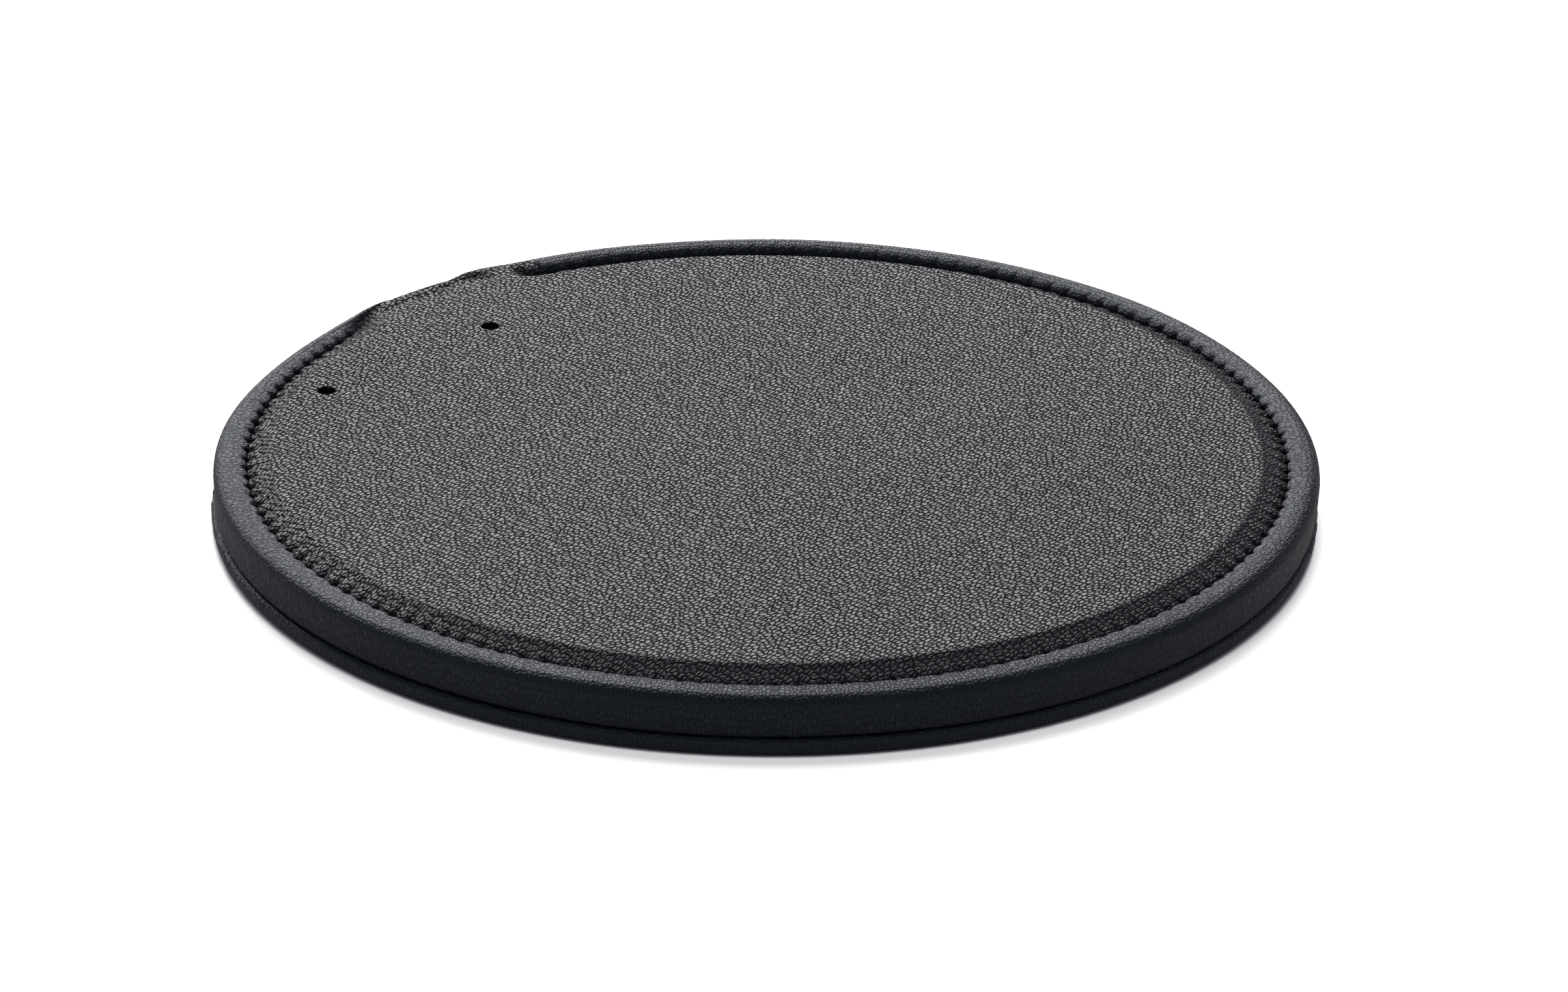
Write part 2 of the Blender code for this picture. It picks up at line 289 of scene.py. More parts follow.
@dataclass(frozen=True)
class MatSizes:
    """Sizes that the pieces share, read from the CAD frame or set here, in metres and degrees.

    Angles run from the mat's right side, anticlockwise from above, so its back is at 90.
    """

    wall_radius: float
    lip_radius: float
    top: float
    rim_top: float
    lip_top: float
    band_foot: float
    seam_foot: float
    turn_in_radius: float
    leather: float = 0.9 * MM
    rim_width: float = 5.9 * MM
    slope_width: float = 4.4 * MM
    seam_depth: float = 2.0 * MM
    seam_gap: float = 0.10 * MM
    crown_width: float = 2.2 * MM        # inner roll of the rim, at the mat's sides
    roll_radius: float = 2.1 * MM        # outer roll of the rim
    foot_radius: float = 0.55 * MM
    pitch: float = 4.0 * MM
    tab_start: float = 117.6
    tab_end: float = 142.6
    hole_radius: float = 1.65 * MM
    holes: tuple[Pair, ...] = ((134.2, 14.45 * MM), (164.2, 5.25 * MM))  # angle, way in from the slope

    @classmethod
    def from_frame(cls) -> "MatSizes":
        """Read the sizes that the frame holds.

        Returns:
            The sizes.
        """
        base, band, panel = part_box("base_cover"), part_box("rim_band"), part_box("top_panel")
        filler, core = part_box("filler_card"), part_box("core_board")
        return cls(
            wall_radius=band[1].x,
            lip_radius=base[1].x,
            top=panel[1].z,
            rim_top=band[1].z,
            lip_top=base[1].z,
            band_foot=band[0].z,
            seam_foot=core[1].z + 0.5 * MM,
            turn_in_radius=filler[1].x + 0.3 * MM,
        )

    @property
    def seam_radius(self) -> float:
        """Radius of the seam's line."""
        return self.wall_radius - self.rim_width

    @property
    def flat_radius(self) -> float:
        """Radius where the flat top ends and the slope begins."""
        return self.seam_radius - self.slope_width

    @property
    def stitch_count(self) -> int:
        """Stitches between the band's two ends."""
        sweep = math.radians(360.0 - self.tab_end + self.tab_start)
        return int(sweep * self.seam_radius / self.pitch)


class MatShape:
    """How the mat's outline, rim and groove change with the angle round it."""

    SAMPLES = 14             # points to a stitch round the seam
    TAB_SAMPLES = 160        # steps across the tab
    # Angles between which a feature comes in on the tab's right side, and on its left.
    UNSEWN = ((118.6, 120.4), (147.5, 142.8))
    FILLED = ((119.4, 121.8), (145.5, 138.0))
    TUCKED = ((123.5, 129.5), (149.5, 138.0))
    WRINKLED = ((122.5, 125.5), (143.0, 137.5))
    FILL = 0.93              # how much of the groove is gone on the tab
    TUCK = 3.6 * MM          # how far the seam runs out over the rim
    # Height, middle and half width in degrees of each bump, in the wall and in the rim's top.
    WALL_BUMPS = ((0.30 * MM, 124.8, 5.0), (-0.45 * MM, 132.2, 6.0), (-0.75 * MM, 155.0, 22.0),
                  (-0.15 * MM, 147.0, 7.0))
    RIM_BUMPS = ((0.30 * MM, 124.8, 5.5), (-0.80 * MM, 132.4, 6.8), (0.20 * MM, 139.5, 4.5),
                 (-0.30 * MM, 154.0, 20.0))
    RIM_TILT = 0.65 * MM     # how far the rim's front lies below its sides

    def __init__(self, sizes: MatSizes) -> None:
        """Work out the angles of the seam and the tab, and each stitch's own irregularity.

        Args:
            sizes: The shared sizes.
        """
        self.sizes = sizes
        steps = sizes.stitch_count * self.SAMPLES
        self.seam_steps = steps + (-(steps + self.TAB_SAMPLES)) % REDUCE
        tab_sweep = sizes.tab_end - sizes.tab_start
        sweep = 360.0 - tab_sweep
        self.seam = sizes.tab_end + sweep * np.arange(self.seam_steps + 1) / self.seam_steps
        self.tab = sizes.tab_start + tab_sweep * np.arange(self.TAB_SAMPLES + 1) / self.TAB_SAMPLES
        self.stitch_angle = sweep / sizes.stitch_count
        rng = np.random.default_rng(11)
        self.stitch_offset = rng.normal(0.0, 0.16 * MM, sizes.stitch_count + 2)
        self.stitch_pull = rng.uniform(0.7, 1.15, sizes.stitch_count + 2)
        self.stitch_lean = rng.normal(0.55, 0.3, sizes.stitch_count + 2)

    def stitch_angles(self) -> np.ndarray:
        """Angle of each stitch in degrees."""
        return self.sizes.tab_end + self.stitch_angle * (np.arange(self.sizes.stitch_count) + 0.5)

    def stitch_index(self, angle: np.ndarray) -> np.ndarray:
        """Number of the stitch nearest to each angle."""
        turned = (angle - self.sizes.tab_end) % 360.0
        return np.clip((turned / self.stitch_angle).astype(int), 0, self.sizes.stitch_count - 1)

    def from_stitch(self, angle: np.ndarray) -> np.ndarray:
        """Distance along the seam from the nearest stitch.

        Args:
            angle: Angles in degrees.

        Returns:
            Metres, positive past the stitch, and large on the tab.
        """
        turned = (angle - self.sizes.tab_end) % 360.0
        nearest = self.stitch_index(angle)
        centre = (nearest + 0.5) * self.stitch_angle
        metres = np.radians(turned - centre) * self.sizes.seam_radius
        return metres - self.stitch_offset[nearest]

    @staticmethod
    def on_tab(angle: np.ndarray, sides: tuple[Pair, Pair]) -> np.ndarray:
        """1 on the tab and 0 away from it, easing between the pair of angles on each side."""
        turned = angle % 360.0
        return ease(turned, *sides[0]) * ease(turned, *sides[1])

    @staticmethod
    def bumps(angle: np.ndarray, table: tuple[tuple[float, float, float], ...]) -> np.ndarray:
        """Sum of raised cosines, each with its height, middle and half width."""
        return sum(height * hump(angle % 360.0, centre, half) for height, centre, half in table)

    def sewn(self, angle: np.ndarray) -> np.ndarray:
        """1 where the band is sewn to the panel, fading to 0 on the tab."""
        return 1.0 - self.on_tab(angle, self.UNSEWN)

    def groove(self, angle: np.ndarray) -> np.ndarray:
        """Depth of the groove as a share of the seam's: full, ending in a pocket and a fade."""
        return 1.0 - self.FILL * self.on_tab(angle, self.FILLED)

    def seam_line(self, angle: np.ndarray) -> np.ndarray:
        """Radius of the seam, which runs out over the rim where the band's left end is tucked in."""
        return self.sizes.seam_radius + self.TUCK * self.on_tab(angle, self.TUCKED)

    def wall_shift(self, angle: np.ndarray) -> np.ndarray:
        """How far the wall stands out from its true circle: bumps beside the notch, a flat after it."""
        return self.bumps(angle, self.WALL_BUMPS) + 0.08 * MM * ripple(angle, 3, 11, 5, 2)

    def rim_lift(self, angle: np.ndarray) -> np.ndarray:
        """How far the rim's top stands above its true level: lower in front, with a dip at the notch."""
        tilt = -0.05 * MM - self.RIM_TILT * (1.0 - np.sin(np.radians(angle)))
        return tilt + self.bumps(angle, self.RIM_BUMPS) + 0.07 * MM * ripple(angle, 5, 17, 5, 3)


class Section:
    """Sections through the upper shell, as radii and heights over angle and row."""

    INNER_ROWS = 13          # rows of the inner roll, then of the parts that follow it
    TOP_ROWS = 3
    OUTER_ROWS = 8
    WALL_ROWS = 4
    FOOT_ROWS = 3
    # Size and reach along the seam of what each stitch does to the leathers.
    GROOVE_RISE, GROOVE_REACH = 0.45 * MM, 0.85 * MM     # the groove's bottom between two stitches
    SLOPE_PIT, SLOPE_PIT_REACH = 0.38 * MM, 0.52 * MM    # the slope, down
    SLOPE_PULL, SLOPE_PULL_REACH = 0.32 * MM, 0.45 * MM  # the slope, towards the middle
    SLOPE_PUFF, SLOPE_PUFF_REACH = 0.10 * MM, 0.9 * MM   # the slope, up between two stitches
    ROLL_PIT, ROLL_PIT_REACH = 0.60 * MM, 0.55 * MM      # the inner roll, down
    ROLL_PULL, ROLL_PULL_REACH = 0.38 * MM, 0.48 * MM    # the inner roll, outwards
    # The slope falls like a hyperbola, with a rounded start.
    SLOPE_BEND = 0.1
    ROUND_SHARE, ROUND_END = 0.13, 0.16
    # Share by which the inner roll is wider at the back and narrower in front.
    BACK_WIDER, FRONT_NARROWER = 0.30, 0.42
    CREASE_DEPTH, CREASE_REACH = 0.10 * MM, 0.36 * MM    # the leaning crease at each stitch
    CREASE_LEAN = 0.9 * MM
    TOP_SWELL = 0.08 * MM    # how far the rim's top swells between its two rolls
    WALL_HOLLOW = 0.06 * MM  # how far the wall draws in halfway down
    LEAN_IN, RIGHT_LEAN_IN = 0.15 * MM, 0.35 * MM        # the foot of the wall, and more on the right
    TOP_WAVES, WALL_WAVES = 0.014 * MM, 0.012 * MM       # fine unevenness of the leather
    # The lining: its corner's size, and how far its foot lies in from the wall.
    CORNER = 1.0 * MM
    LINING_FOOT = 0.2 * MM

    def __init__(self, shape: MatShape) -> None:
        """Keep the shape and sizes at hand."""
        self.shape = shape
        self.sizes = shape.sizes

    def groove_level(self, angle: np.ndarray) -> np.ndarray:
        """Height of the groove's bottom, where the two leathers meet.

        Args:
            angle: Angles in degrees.

        Returns:
            Heights: lowest at a stitch, higher between two, and up on the tab.
        """
        apart = 1.0 - bell(self.shape.from_stitch(angle), self.GROOVE_REACH)
        lift = self.GROOVE_RISE * apart * self.shape.sewn(angle) * np.abs(np.cos(np.radians(angle)))
        return self.sizes.top - self.sizes.seam_depth * self.shape.groove(angle) + lift

    def pit(self, angle: np.ndarray, width: float) -> np.ndarray:
        """Pull of each stitch on the leather.

        Args:
            angle: Angles in degrees.
            width: How far along the seam the pull reaches, in metres.

        Returns:
            About 1 at a needle hole and 0 halfway to the next, weaker in front and at the back.
        """
        shape = self.shape
        strength = shape.stitch_pull[shape.stitch_index(angle)]
        strength = strength * (0.5 + 0.5 * np.abs(np.cos(np.radians(angle))))
        return strength * bell(shape.from_stitch(angle), width) * shape.sewn(angle)

    def slope(self, angle: np.ndarray, share: np.ndarray) -> tuple[np.ndarray, np.ndarray]:
        """Panel's slope from the flat (share 0) to the groove (share 1).

        The drop is nearly straight along the seam and a smooth step on the tab. Each stitch
        pulls the leather down and back, and the leather puffs up between two stitches.

        Args:
            angle: Angles in degrees.
            share: Way down the slope, 0 to 1.

        Returns:
            Radii and heights.
        """
        sizes, shape = self.sizes, self.shape
        sewn = shape.sewn(angle)
        edge = shape.seam_line(angle) - sizes.seam_gap / 2
        radius = sizes.flat_radius + (edge - sizes.flat_radius) * share
        bend = self.SLOPE_BEND
        straight = (np.sqrt(share ** 2 + bend ** 2) - bend) / (math.sqrt(1.0 + bend ** 2) - bend)
        straight = (1.0 - self.ROUND_SHARE) * straight + self.ROUND_SHARE * ease(share, 0.0, self.ROUND_END)
        drop = straight * sewn + ease(share, 0.15, 1.0) * (1.0 - sewn)
        height = sizes.top - (sizes.top - self.groove_level(angle)) * drop
        near = ease(share, 0.72, 1.0)
        height = height - near * self.SLOPE_PIT * self.pit(angle, self.SLOPE_PIT_REACH)
        radius = radius - near * share ** 3 * self.SLOPE_PULL * self.pit(angle, self.SLOPE_PULL_REACH)
        puff = self.SLOPE_PUFF * hump(share, 0.75, 0.3) * (1.0 - self.pit(angle, self.SLOPE_PUFF_REACH))
        height = height + sewn * puff
        height = height + 0.05 * MM * share * ripple(angle, 20, 60, 6, 21)
        return radius, height + self.tab_wrinkles(angle, radius)

    def tab_wrinkles(self, angle: np.ndarray, radius: np.ndarray) -> np.ndarray:
        """Two creases beside the tab's edge, and small folds that lean across them.

        Args:
            angle: Angles in degrees.
            radius: Radii of the same points.

        Returns:
            Heights to add.
        """
        turned = angle % 360.0
        line = self.sizes.seam_radius + (0.9 + 1.6 * hump(turned, 126.0, 9.0)) * MM
        crease = -0.50 * bell(radius - line, 0.50 * MM) - 0.25 * bell(radius - line + 1.7 * MM, 0.45 * MM)
        along = np.radians(turned) * self.sizes.seam_radius
        across = radius - self.sizes.seam_radius
        folds = np.sin((along * 0.75 + across * 0.66) / (0.21 * MM) + 1.7 * np.sin(along / (1.9 * MM)))
        window = hump(across, 1.2 * MM, 3.8 * MM)
        return self.shape.on_tab(angle, self.shape.WRINKLED) * (crease + 0.08 * folds * window) * MM

    def end_crease(self, angle: np.ndarray, place: np.ndarray) -> np.ndarray:
        """Crease where the band's right end meets the tab.

        Args:
            angle: Angles in degrees.
            place: Way up the inner roll, 90 at the rim's top, where the crease fades.

        Returns:
            Depths.
        """
        away = np.radians(angle % 360.0 - self.sizes.tab_start) * self.sizes.seam_radius
        return 0.55 * MM * bell(away, 0.42 * MM) * ease(place, 96.0, 50.0)

    def outer(self, angle: np.ndarray) -> tuple[np.ndarray, np.ndarray]:
        """Skin past the groove: inner roll, top, outer roll, wall, foot and turned-in edge.

        Both rolls are quarter ellipses, the inner one wider at the back than in front. At each
        stitch a pit is pressed into the inner roll, and a short leaning crease runs up from it.

        Args:
            angle: Angles in degrees, one for each section.

        Returns:
            Radii and heights, one row of the section to a column.
        """
        sizes, shape = self.sizes, self.shape
        angle = angle[:, None]
        wall = sizes.wall_radius + shape.wall_shift(angle)
        top = sizes.rim_top + shape.rim_lift(angle)
        bottom = self.groove_level(angle)
        sewn = shape.sewn(angle)
        edge = shape.seam_line(angle) + sizes.seam_gap / 2 * sewn
        top_end = wall - sizes.roll_radius
        facing = np.sin(np.radians(angle))
        wider = np.where(facing > 0.0, self.BACK_WIDER, self.FRONT_NARROWER) * facing
        crown = np.minimum(sizes.crown_width * (1.0 + wider), (top_end - edge) * 0.9)
        turns = np.radians(90.0 * np.linspace(0.0, 1.0, self.INNER_ROWS) ** 1.25)[None, :]
        share = 1.0 - np.cos(turns)
        rise = np.sin(turns) * sewn + ease(share, 0.0, 1.0) * (1.0 - sewn)
        inner_r = edge + crown * share
        inner_z = bottom + (top - bottom) * rise

        place = np.degrees(turns)
        reach = ease(place, 52.0, 8.0)
        inner_r = inner_r + self.ROLL_PULL * self.pit(angle, self.ROLL_PULL_REACH) * reach
        low_down = ease(place, 62.0, 12.0)
        inner_z = inner_z - self.ROLL_PIT * self.pit(angle, self.ROLL_PIT_REACH) * low_down
        nearest = shape.stitch_index(angle)
        lean = shape.stitch_lean[nearest] * (place - 35.0) / 55.0 * self.CREASE_LEAN
        crease = bell(shape.from_stitch(angle) + lean, self.CREASE_REACH) * hump(place, 55.0, 34.0) * sewn
        inner_z = inner_z - self.CREASE_DEPTH * crease * shape.stitch_pull[nearest]
        inner_z = inner_z - self.end_crease(angle, place)

        shares = np.linspace(0.0, 1.0, self.TOP_ROWS + 2)[None, 1:-1]
        top_r = (edge + crown) * (1 - shares) + top_end * shares
        top_z = top + self.TOP_SWELL * np.sin(np.pi * shares) - self.end_crease(angle, 90.0 + 0.0 * shares)

        turns = np.linspace(np.pi / 2, 0.0, self.OUTER_ROWS)[None, :]
        outer_r = top_end + sizes.roll_radius * np.cos(turns)
        outer_z = top - sizes.roll_radius * (1.0 - np.sin(turns))

        foot_top = sizes.band_foot + sizes.foot_radius
        shares = np.linspace(0.0, 1.0, self.WALL_ROWS)[None, 1:]
        wall_z = (top - sizes.roll_radius) * (1 - shares) + foot_top * shares
        lean_in = self.LEAN_IN + self.RIGHT_LEAN_IN * hump((angle + 180.0) % 360.0, 170.0, 60.0)
        wall_r = wall - self.WALL_HOLLOW * np.sin(np.pi * shares) - lean_in * shares ** 2

        turns = np.linspace(0.0, -np.pi / 2, self.FOOT_ROWS)[None, 1:]
        foot_r = wall - lean_in - sizes.foot_radius * (1.0 - np.cos(turns))
        foot_z = foot_top + sizes.foot_radius * np.sin(turns)

        edge_r = np.full_like(angle, sizes.turn_in_radius)
        edge_z = np.full_like(angle, sizes.band_foot)
        radius = self.join([inner_r, top_r, outer_r, wall_r, foot_r, edge_r])
        height = self.join([inner_z, top_z, outer_z, wall_z, foot_z, edge_z])
        upper = ease(height, sizes.rim_top - 4.0 * MM, sizes.rim_top - 2.0 * MM)
        height = height + upper * self.tab_wrinkles(angle, radius)
        height = height + upper * self.TOP_WAVES * ripple(angle, 160, 420, 7, 5)
        low = 1.0 - ease(height, sizes.band_foot, sizes.band_foot + 0.3 * MM)
        radius = radius + (1.0 - low) * self.WALL_WAVES * ripple(angle, 60, 260, 7, 6)
        return radius, height

    @staticmethod
    def join(columns: list[np.ndarray]) -> np.ndarray:
        """Put columns side by side, each repeated down the rows where it is given once."""
        rows = max(len(column) for column in columns)
        return np.concatenate([np.broadcast_to(c, (rows, c.shape[1])) for c in columns], axis=1)

    def lining(self, angle: np.ndarray) -> tuple[np.ndarray, np.ndarray]:
        """Inner side of the same leather, from the turned-in edge back up to the groove.

        Args:
            angle: Angles in degrees, one for each section.

        Returns:
            Radii and heights, one row of the section to a column.
        """
        sizes, shape = self.sizes, self.shape
        angle = angle[:, None]
        wall = sizes.wall_radius + shape.wall_shift(angle) - sizes.leather
        top = sizes.rim_top + shape.rim_lift(angle) - sizes.leather
        bottom = self.groove_level(angle) - 0.4 * MM
        edge = shape.seam_line(angle) + sizes.leather
        foot = sizes.band_foot + sizes.leather
        ones = np.ones_like(angle)
        corner = self.CORNER
        inside = np.minimum(edge + corner * 1.2, wall - corner * 1.7)
        radii = [ones * sizes.turn_in_radius, wall - self.LINING_FOOT, wall, wall - corner * 0.5,
                 wall - corner * 1.6, inside, inside - 0.9 * MM]
        heights = [ones * foot, ones * foot, top - corner * 1.8, top - corner * 0.45, top, top,
                   bottom]
        return np.concatenate(radii, axis=1), np.concatenate(heights, axis=1)


# ---------------------------------------------------------------- pieces

@dataclass
class RimBand:
    """Leather band round the edge, open at the tab, with its seam allowance and turned-in foot."""

    section: Section

    def build(self, parts: bpy.types.Collection) -> bpy.types.Object:
        """Carry the section along the seam from one band end to the other.

        Args:
            parts: Collection that the piece goes in.

        Returns:
            The piece.
        """
        sizes, shape = self.section.sizes, self.section.shape
        angle = shape.seam
        outer_r, outer_z = self.section.outer(angle)
        lining_r, lining_z = self.section.lining(angle)
        flange = shape.seam_line(angle)[:, None] + sizes.seam_gap / 2
        foot = np.full_like(flange, sizes.seam_foot)
        middle = (foot + self.section.groove_level(angle)[:, None]) / 2 - 0.3 * MM
        radius = np.concatenate([flange, flange, outer_r, lining_r, flange + sizes.leather], axis=1)
        height = np.concatenate([foot, middle, outer_z, lining_z, foot], axis=1)
        skin = Skin()
        skin.tube(to_points(angle[:, None], radius, height))
        return skin.build("rim_leather_band", parts)


@dataclass
class TopPanel:
    """Round leather panel: flat top, slope, seam allowance, and the tab folded over the edge."""

    section: Section
    fine_radii: tuple[float, ...] = (80 * MM, 82.5 * MM, 85 * MM, 87 * MM, 88.6 * MM)
    coarse_step: float = 5.0 * MM
    slope_rows: int = 11
    under_rows: tuple[int, ...] = (2, 5, 8)      # rows of the slope that its underside follows

    def flat_height(self, x: np.ndarray, y: np.ndarray) -> np.ndarray:
        """Height of the flat top with its faint, slow unevenness.

        Args:
            x: Positions along X.
            y: Positions along Y.

        Returns:
            Heights.
        """
        radius = np.hypot(x, y)
        calm = ease(radius, self.section.sizes.flat_radius, self.section.sizes.flat_radius - 12 * MM)
        return self.section.sizes.top - 0.05 * MM * calm * (1.0 + undulation(x, y, 45 * MM, 7, 31))

    def flat_points(self, angle: np.ndarray, radius: float, drop: float) -> np.ndarray:
        """Ring of the flat top or of its underside.

        Args:
            angle: Angles in degrees.
            radius: The ring's radius.
            drop: How far the ring lies below the top.

        Returns:
            The ring's points.
        """
        points = to_points(angle, radius, 0.0)
        points[:, 2] = self.flat_height(points[:, 0], points[:, 1]) - drop
        return points

    def fill_flat(self, skin: Skin, fine: np.ndarray, angle: np.ndarray, drop: float) -> None:
        """Close the flat inside the fine rings with coarser rings and a centre.

        Args:
            skin: Where the faces go.
            fine: Indices of the innermost fine ring.
            angle: Angles of that ring.
            drop: How far the flat lies below the top.
        """
        coarse_angle = angle[::REDUCE]
        radii = np.arange(self.fine_radii[0] - 3 * MM, self.coarse_step, -self.coarse_step)
        rings = np.stack([self.flat_points(coarse_angle, r, drop) for r in radii], axis=1)
        grid = skin.add(rings)
        skin.reduce(fine, grid[:, 0])
        skin.quads(grid, closed=True)
        skin.fan(grid[:, -1], int(skin.add(self.flat_points(np.zeros(1), 0.0, drop))[0]))

    def build(self, parts: bpy.types.Collection) -> bpy.types.Object:
        """Join the flat, the slope, the seam allowance and the tab into one leather.

        Args:
            parts: Collection that the piece goes in.

        Returns:
            The piece.
        """
        section, sizes, shape = self.section, self.section.sizes, self.section.shape
        angle = np.concatenate([shape.tab[:-1], shape.seam[:-1]])
        column = angle[:, None]
        skin = Skin()

        flat = np.stack([self.flat_points(angle, r, 0.0) for r in self.fine_radii], axis=1)
        slope_r, slope_z = section.slope(column, np.linspace(0.0, 1.0, self.slope_rows)[None, :])
        upper = skin.add(np.concatenate([flat, to_points(column, slope_r, slope_z)], axis=1))
        skin.quads(upper, closed=True)
        self.fill_flat(skin, upper[:, 0], angle, 0.0)

        under_slope = to_points(column, slope_r[:, self.under_rows] - 0.3 * MM,
                                slope_z[:, self.under_rows] - sizes.leather * 1.12)
        under_edge = to_points(angle, shape.seam_line(angle) - sizes.leather,
                               section.groove_level(angle) - 1.1 * MM)
        under_flat = np.stack([self.flat_points(angle, r, sizes.leather)
                               for r in (self.fine_radii[0], self.fine_radii[-1])], axis=1)
        lower = skin.add(np.concatenate([under_flat, under_slope, under_edge[:, None]], axis=1))
        skin.quads(lower, closed=True)
        self.fill_flat(skin, lower[:, 0], angle, sizes.leather)

        tab_end = len(shape.tab) - 1
        on_seam = np.append(np.arange(tab_end, len(angle)), 0)
        on_tab = np.arange(tab_end + 1)
        skin.sheet(self.flange_points(shape.seam), upper[on_seam, -1], lower[on_seam, -1])
        skin.sheet(self.tab_points(shape.tab), upper[on_tab, -1], lower[on_tab, -1])
        return skin.build("top_leather_panel", parts)

    def flange_points(self, angle: np.ndarray) -> np.ndarray:
        """Seam allowance: down from the groove, round its cut edge and back up.

        Args:
            angle: Angles in degrees, one for each section.

        Returns:
            Points, one section to a row.
        """
        sizes = self.section.sizes
        outside = self.section.shape.seam_line(angle) - sizes.seam_gap / 2
        inside = outside - sizes.leather
        foot = np.full_like(angle, sizes.seam_foot)
        middle = (self.section.groove_level(angle) + foot) / 2 - 0.3 * MM
        radius = np.stack([outside, outside, inside, inside], axis=1)
        return to_points(angle[:, None], radius, np.stack([middle, foot, foot, middle], axis=1))

    def tab_points(self, angle: np.ndarray) -> np.ndarray:
        """Tab: over the edge, down the wall, under its foot and back up inside.

        Args:
            angle: Angles in degrees, one for each section.

        Returns:
            Points, one section to a row.
        """
        outer_r, outer_z = self.section.outer(angle)
        lining_r, lining_z = self.section.lining(angle)
        radius = np.concatenate([outer_r[:, 1:], lining_r], axis=1)
        height = np.concatenate([outer_z[:, 1:], lining_z], axis=1)
        return to_points(angle[:, None], radius, height)


@dataclass
class VentHoles:
    """Two soft-edged holes through the panel and its foam."""

    sizes: MatSizes
    sides: int = 48
    flare: float = 0.45 * MM

    def cutter(self, number: int, bottom: float, top: float, flared: bool,
               parts: bpy.types.Collection) -> bpy.types.Object:
        """Turned cutter: a straight bore whose mouth opens in a quarter round.

        Args:
            number: Which hole, from 0.
            bottom: Height where the bore starts.
            top: Height of the surface that it is cut in.
            flared: Whether the mouth opens.
            parts: Collection that the cutter goes in.

        Returns:
            The cutter.
        """
        angle, inset = self.sizes.holes[number]
        centre = self.sizes.flat_radius - inset
        middle = to_points(angle, centre, 0.0)
        turns = np.linspace(0.0, np.pi / 2, 7) if flared else np.zeros(1)
        radius = self.sizes.hole_radius + self.flare * (1.0 - np.cos(turns))
        height = top - self.flare * 0.8 * (1.0 - np.sin(turns))
        radius = np.concatenate([[self.sizes.hole_radius], radius, radius[-1:]])
        height = np.concatenate([[bottom], height, [top + 0.6 * MM]])
        around = np.arange(self.sides) * 360.0 / self.sides
        skin = Skin()
        grid = skin.add(to_points(around[:, None], radius, height) + middle)
        skin.quads(grid, closed=True)
        skin.cap_ends(grid.T)
        return skin.build(f"hole_cutter_{number}", parts)

    def cut(self, item: bpy.types.Object, bottom: float, top: float, flared: bool,
            parts: bpy.types.Collection) -> None:
        """Cut both holes in a piece.

        Args:
            item: The piece.
            bottom: Height where the bores start.
            top: Height of the surface that they are cut in.
            flared: Whether their mouths open.
            parts: Collection that the cutters are made in.
        """
        numbers = range(len(self.sizes.holes))
        cutters = [self.cutter(n, bottom, top, flared, parts) for n in numbers]
        bore(item, cutters)
        for cutter in cutters:
            bpy.data.objects.remove(cutter)


@dataclass
class FoamPad:
    """Foam under the panel: a crowned disc that follows the slope."""

    sizes: MatSizes
    columns: int = 240

    def build(self, parts: bpy.types.Collection) -> bpy.types.Object:
        """Turn the pad's section: flat underside, rounded side, and a faint swell.

        Args:
            parts: Collection that the piece goes in.

        Returns:
            The piece.
        """
        low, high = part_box("top_foam")
        angle = np.arange(self.columns) * 360.0 / self.columns
        radius = np.array([0.2, 0.5, 0.8, 1.0, 1.0, 0.995, 0.985, 0.972, 0.95, 0.8, 0.5, 0.2]) * high.x
        level = np.array([0.0, 0.0, 0.0, 0.02, 0.45, 0.70, 0.84, 0.93, 0.97, 0.985, 0.99, 0.99])
        height = low.z + (high.z - low.z) * level
        skin = Skin()
        grid = skin.add(to_points(angle[:, None], radius, height))
        skin.quads(grid, closed=True)
        skin.fan(grid[:, 0], int(skin.add(np.array([[0.0, 0.0, low.z]]))[0]))
        skin.fan(grid[:, -1], int(skin.add(np.array([[0.0, 0.0, height[-1]]]))[0]))
        return skin.build("foam_pad", parts)


@dataclass
class RimPadding:
    """Foam strip that fills the rim under the band: a closed section that follows the rim's roll."""

    section: Section
    columns: int = 480
    clearance: float = 0.15 * MM
    end_gap: float = 0.6     # degrees short of the band's ends
    outline: tuple[Pair, ...] = ((0.0, 0.0), (0.0, 0.45), (0.25, 0.85), (0.6, 0.95), (0.85, 0.78),
                                 (1.0, 0.35), (1.0, 0.0))  # shares of the strip's width and height

    def build(self, parts: bpy.types.Collection) -> bpy.types.Object:
        """Carry the strip's section from one end of the band to the other.

        Args:
            parts: Collection that the piece goes in.

        Returns:
            The piece.
        """
        sizes, shape = self.section.sizes, self.section.shape
        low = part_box("rim_filler")[0].z
        start, end = shape.seam[0] + self.end_gap, shape.seam[-1] - self.end_gap
        angle = start + (end - start) * np.arange(self.columns + 1)[:, None] / self.columns
        skin_depth = sizes.leather + self.clearance
        top = sizes.rim_top + shape.rim_lift(angle) - skin_depth
        wall = sizes.wall_radius + shape.wall_shift(angle) - skin_depth
        inside = shape.seam_line(angle) + skin_depth + 1.1 * MM
        across, up = np.array(self.outline).T
        radius = inside + (wall - inside - 0.2 * MM) * across
        height = low + (top - low) * up
        skin = Skin()
        skin.tube(to_points(angle, radius, height))
        return skin.build("rim_padding", parts)


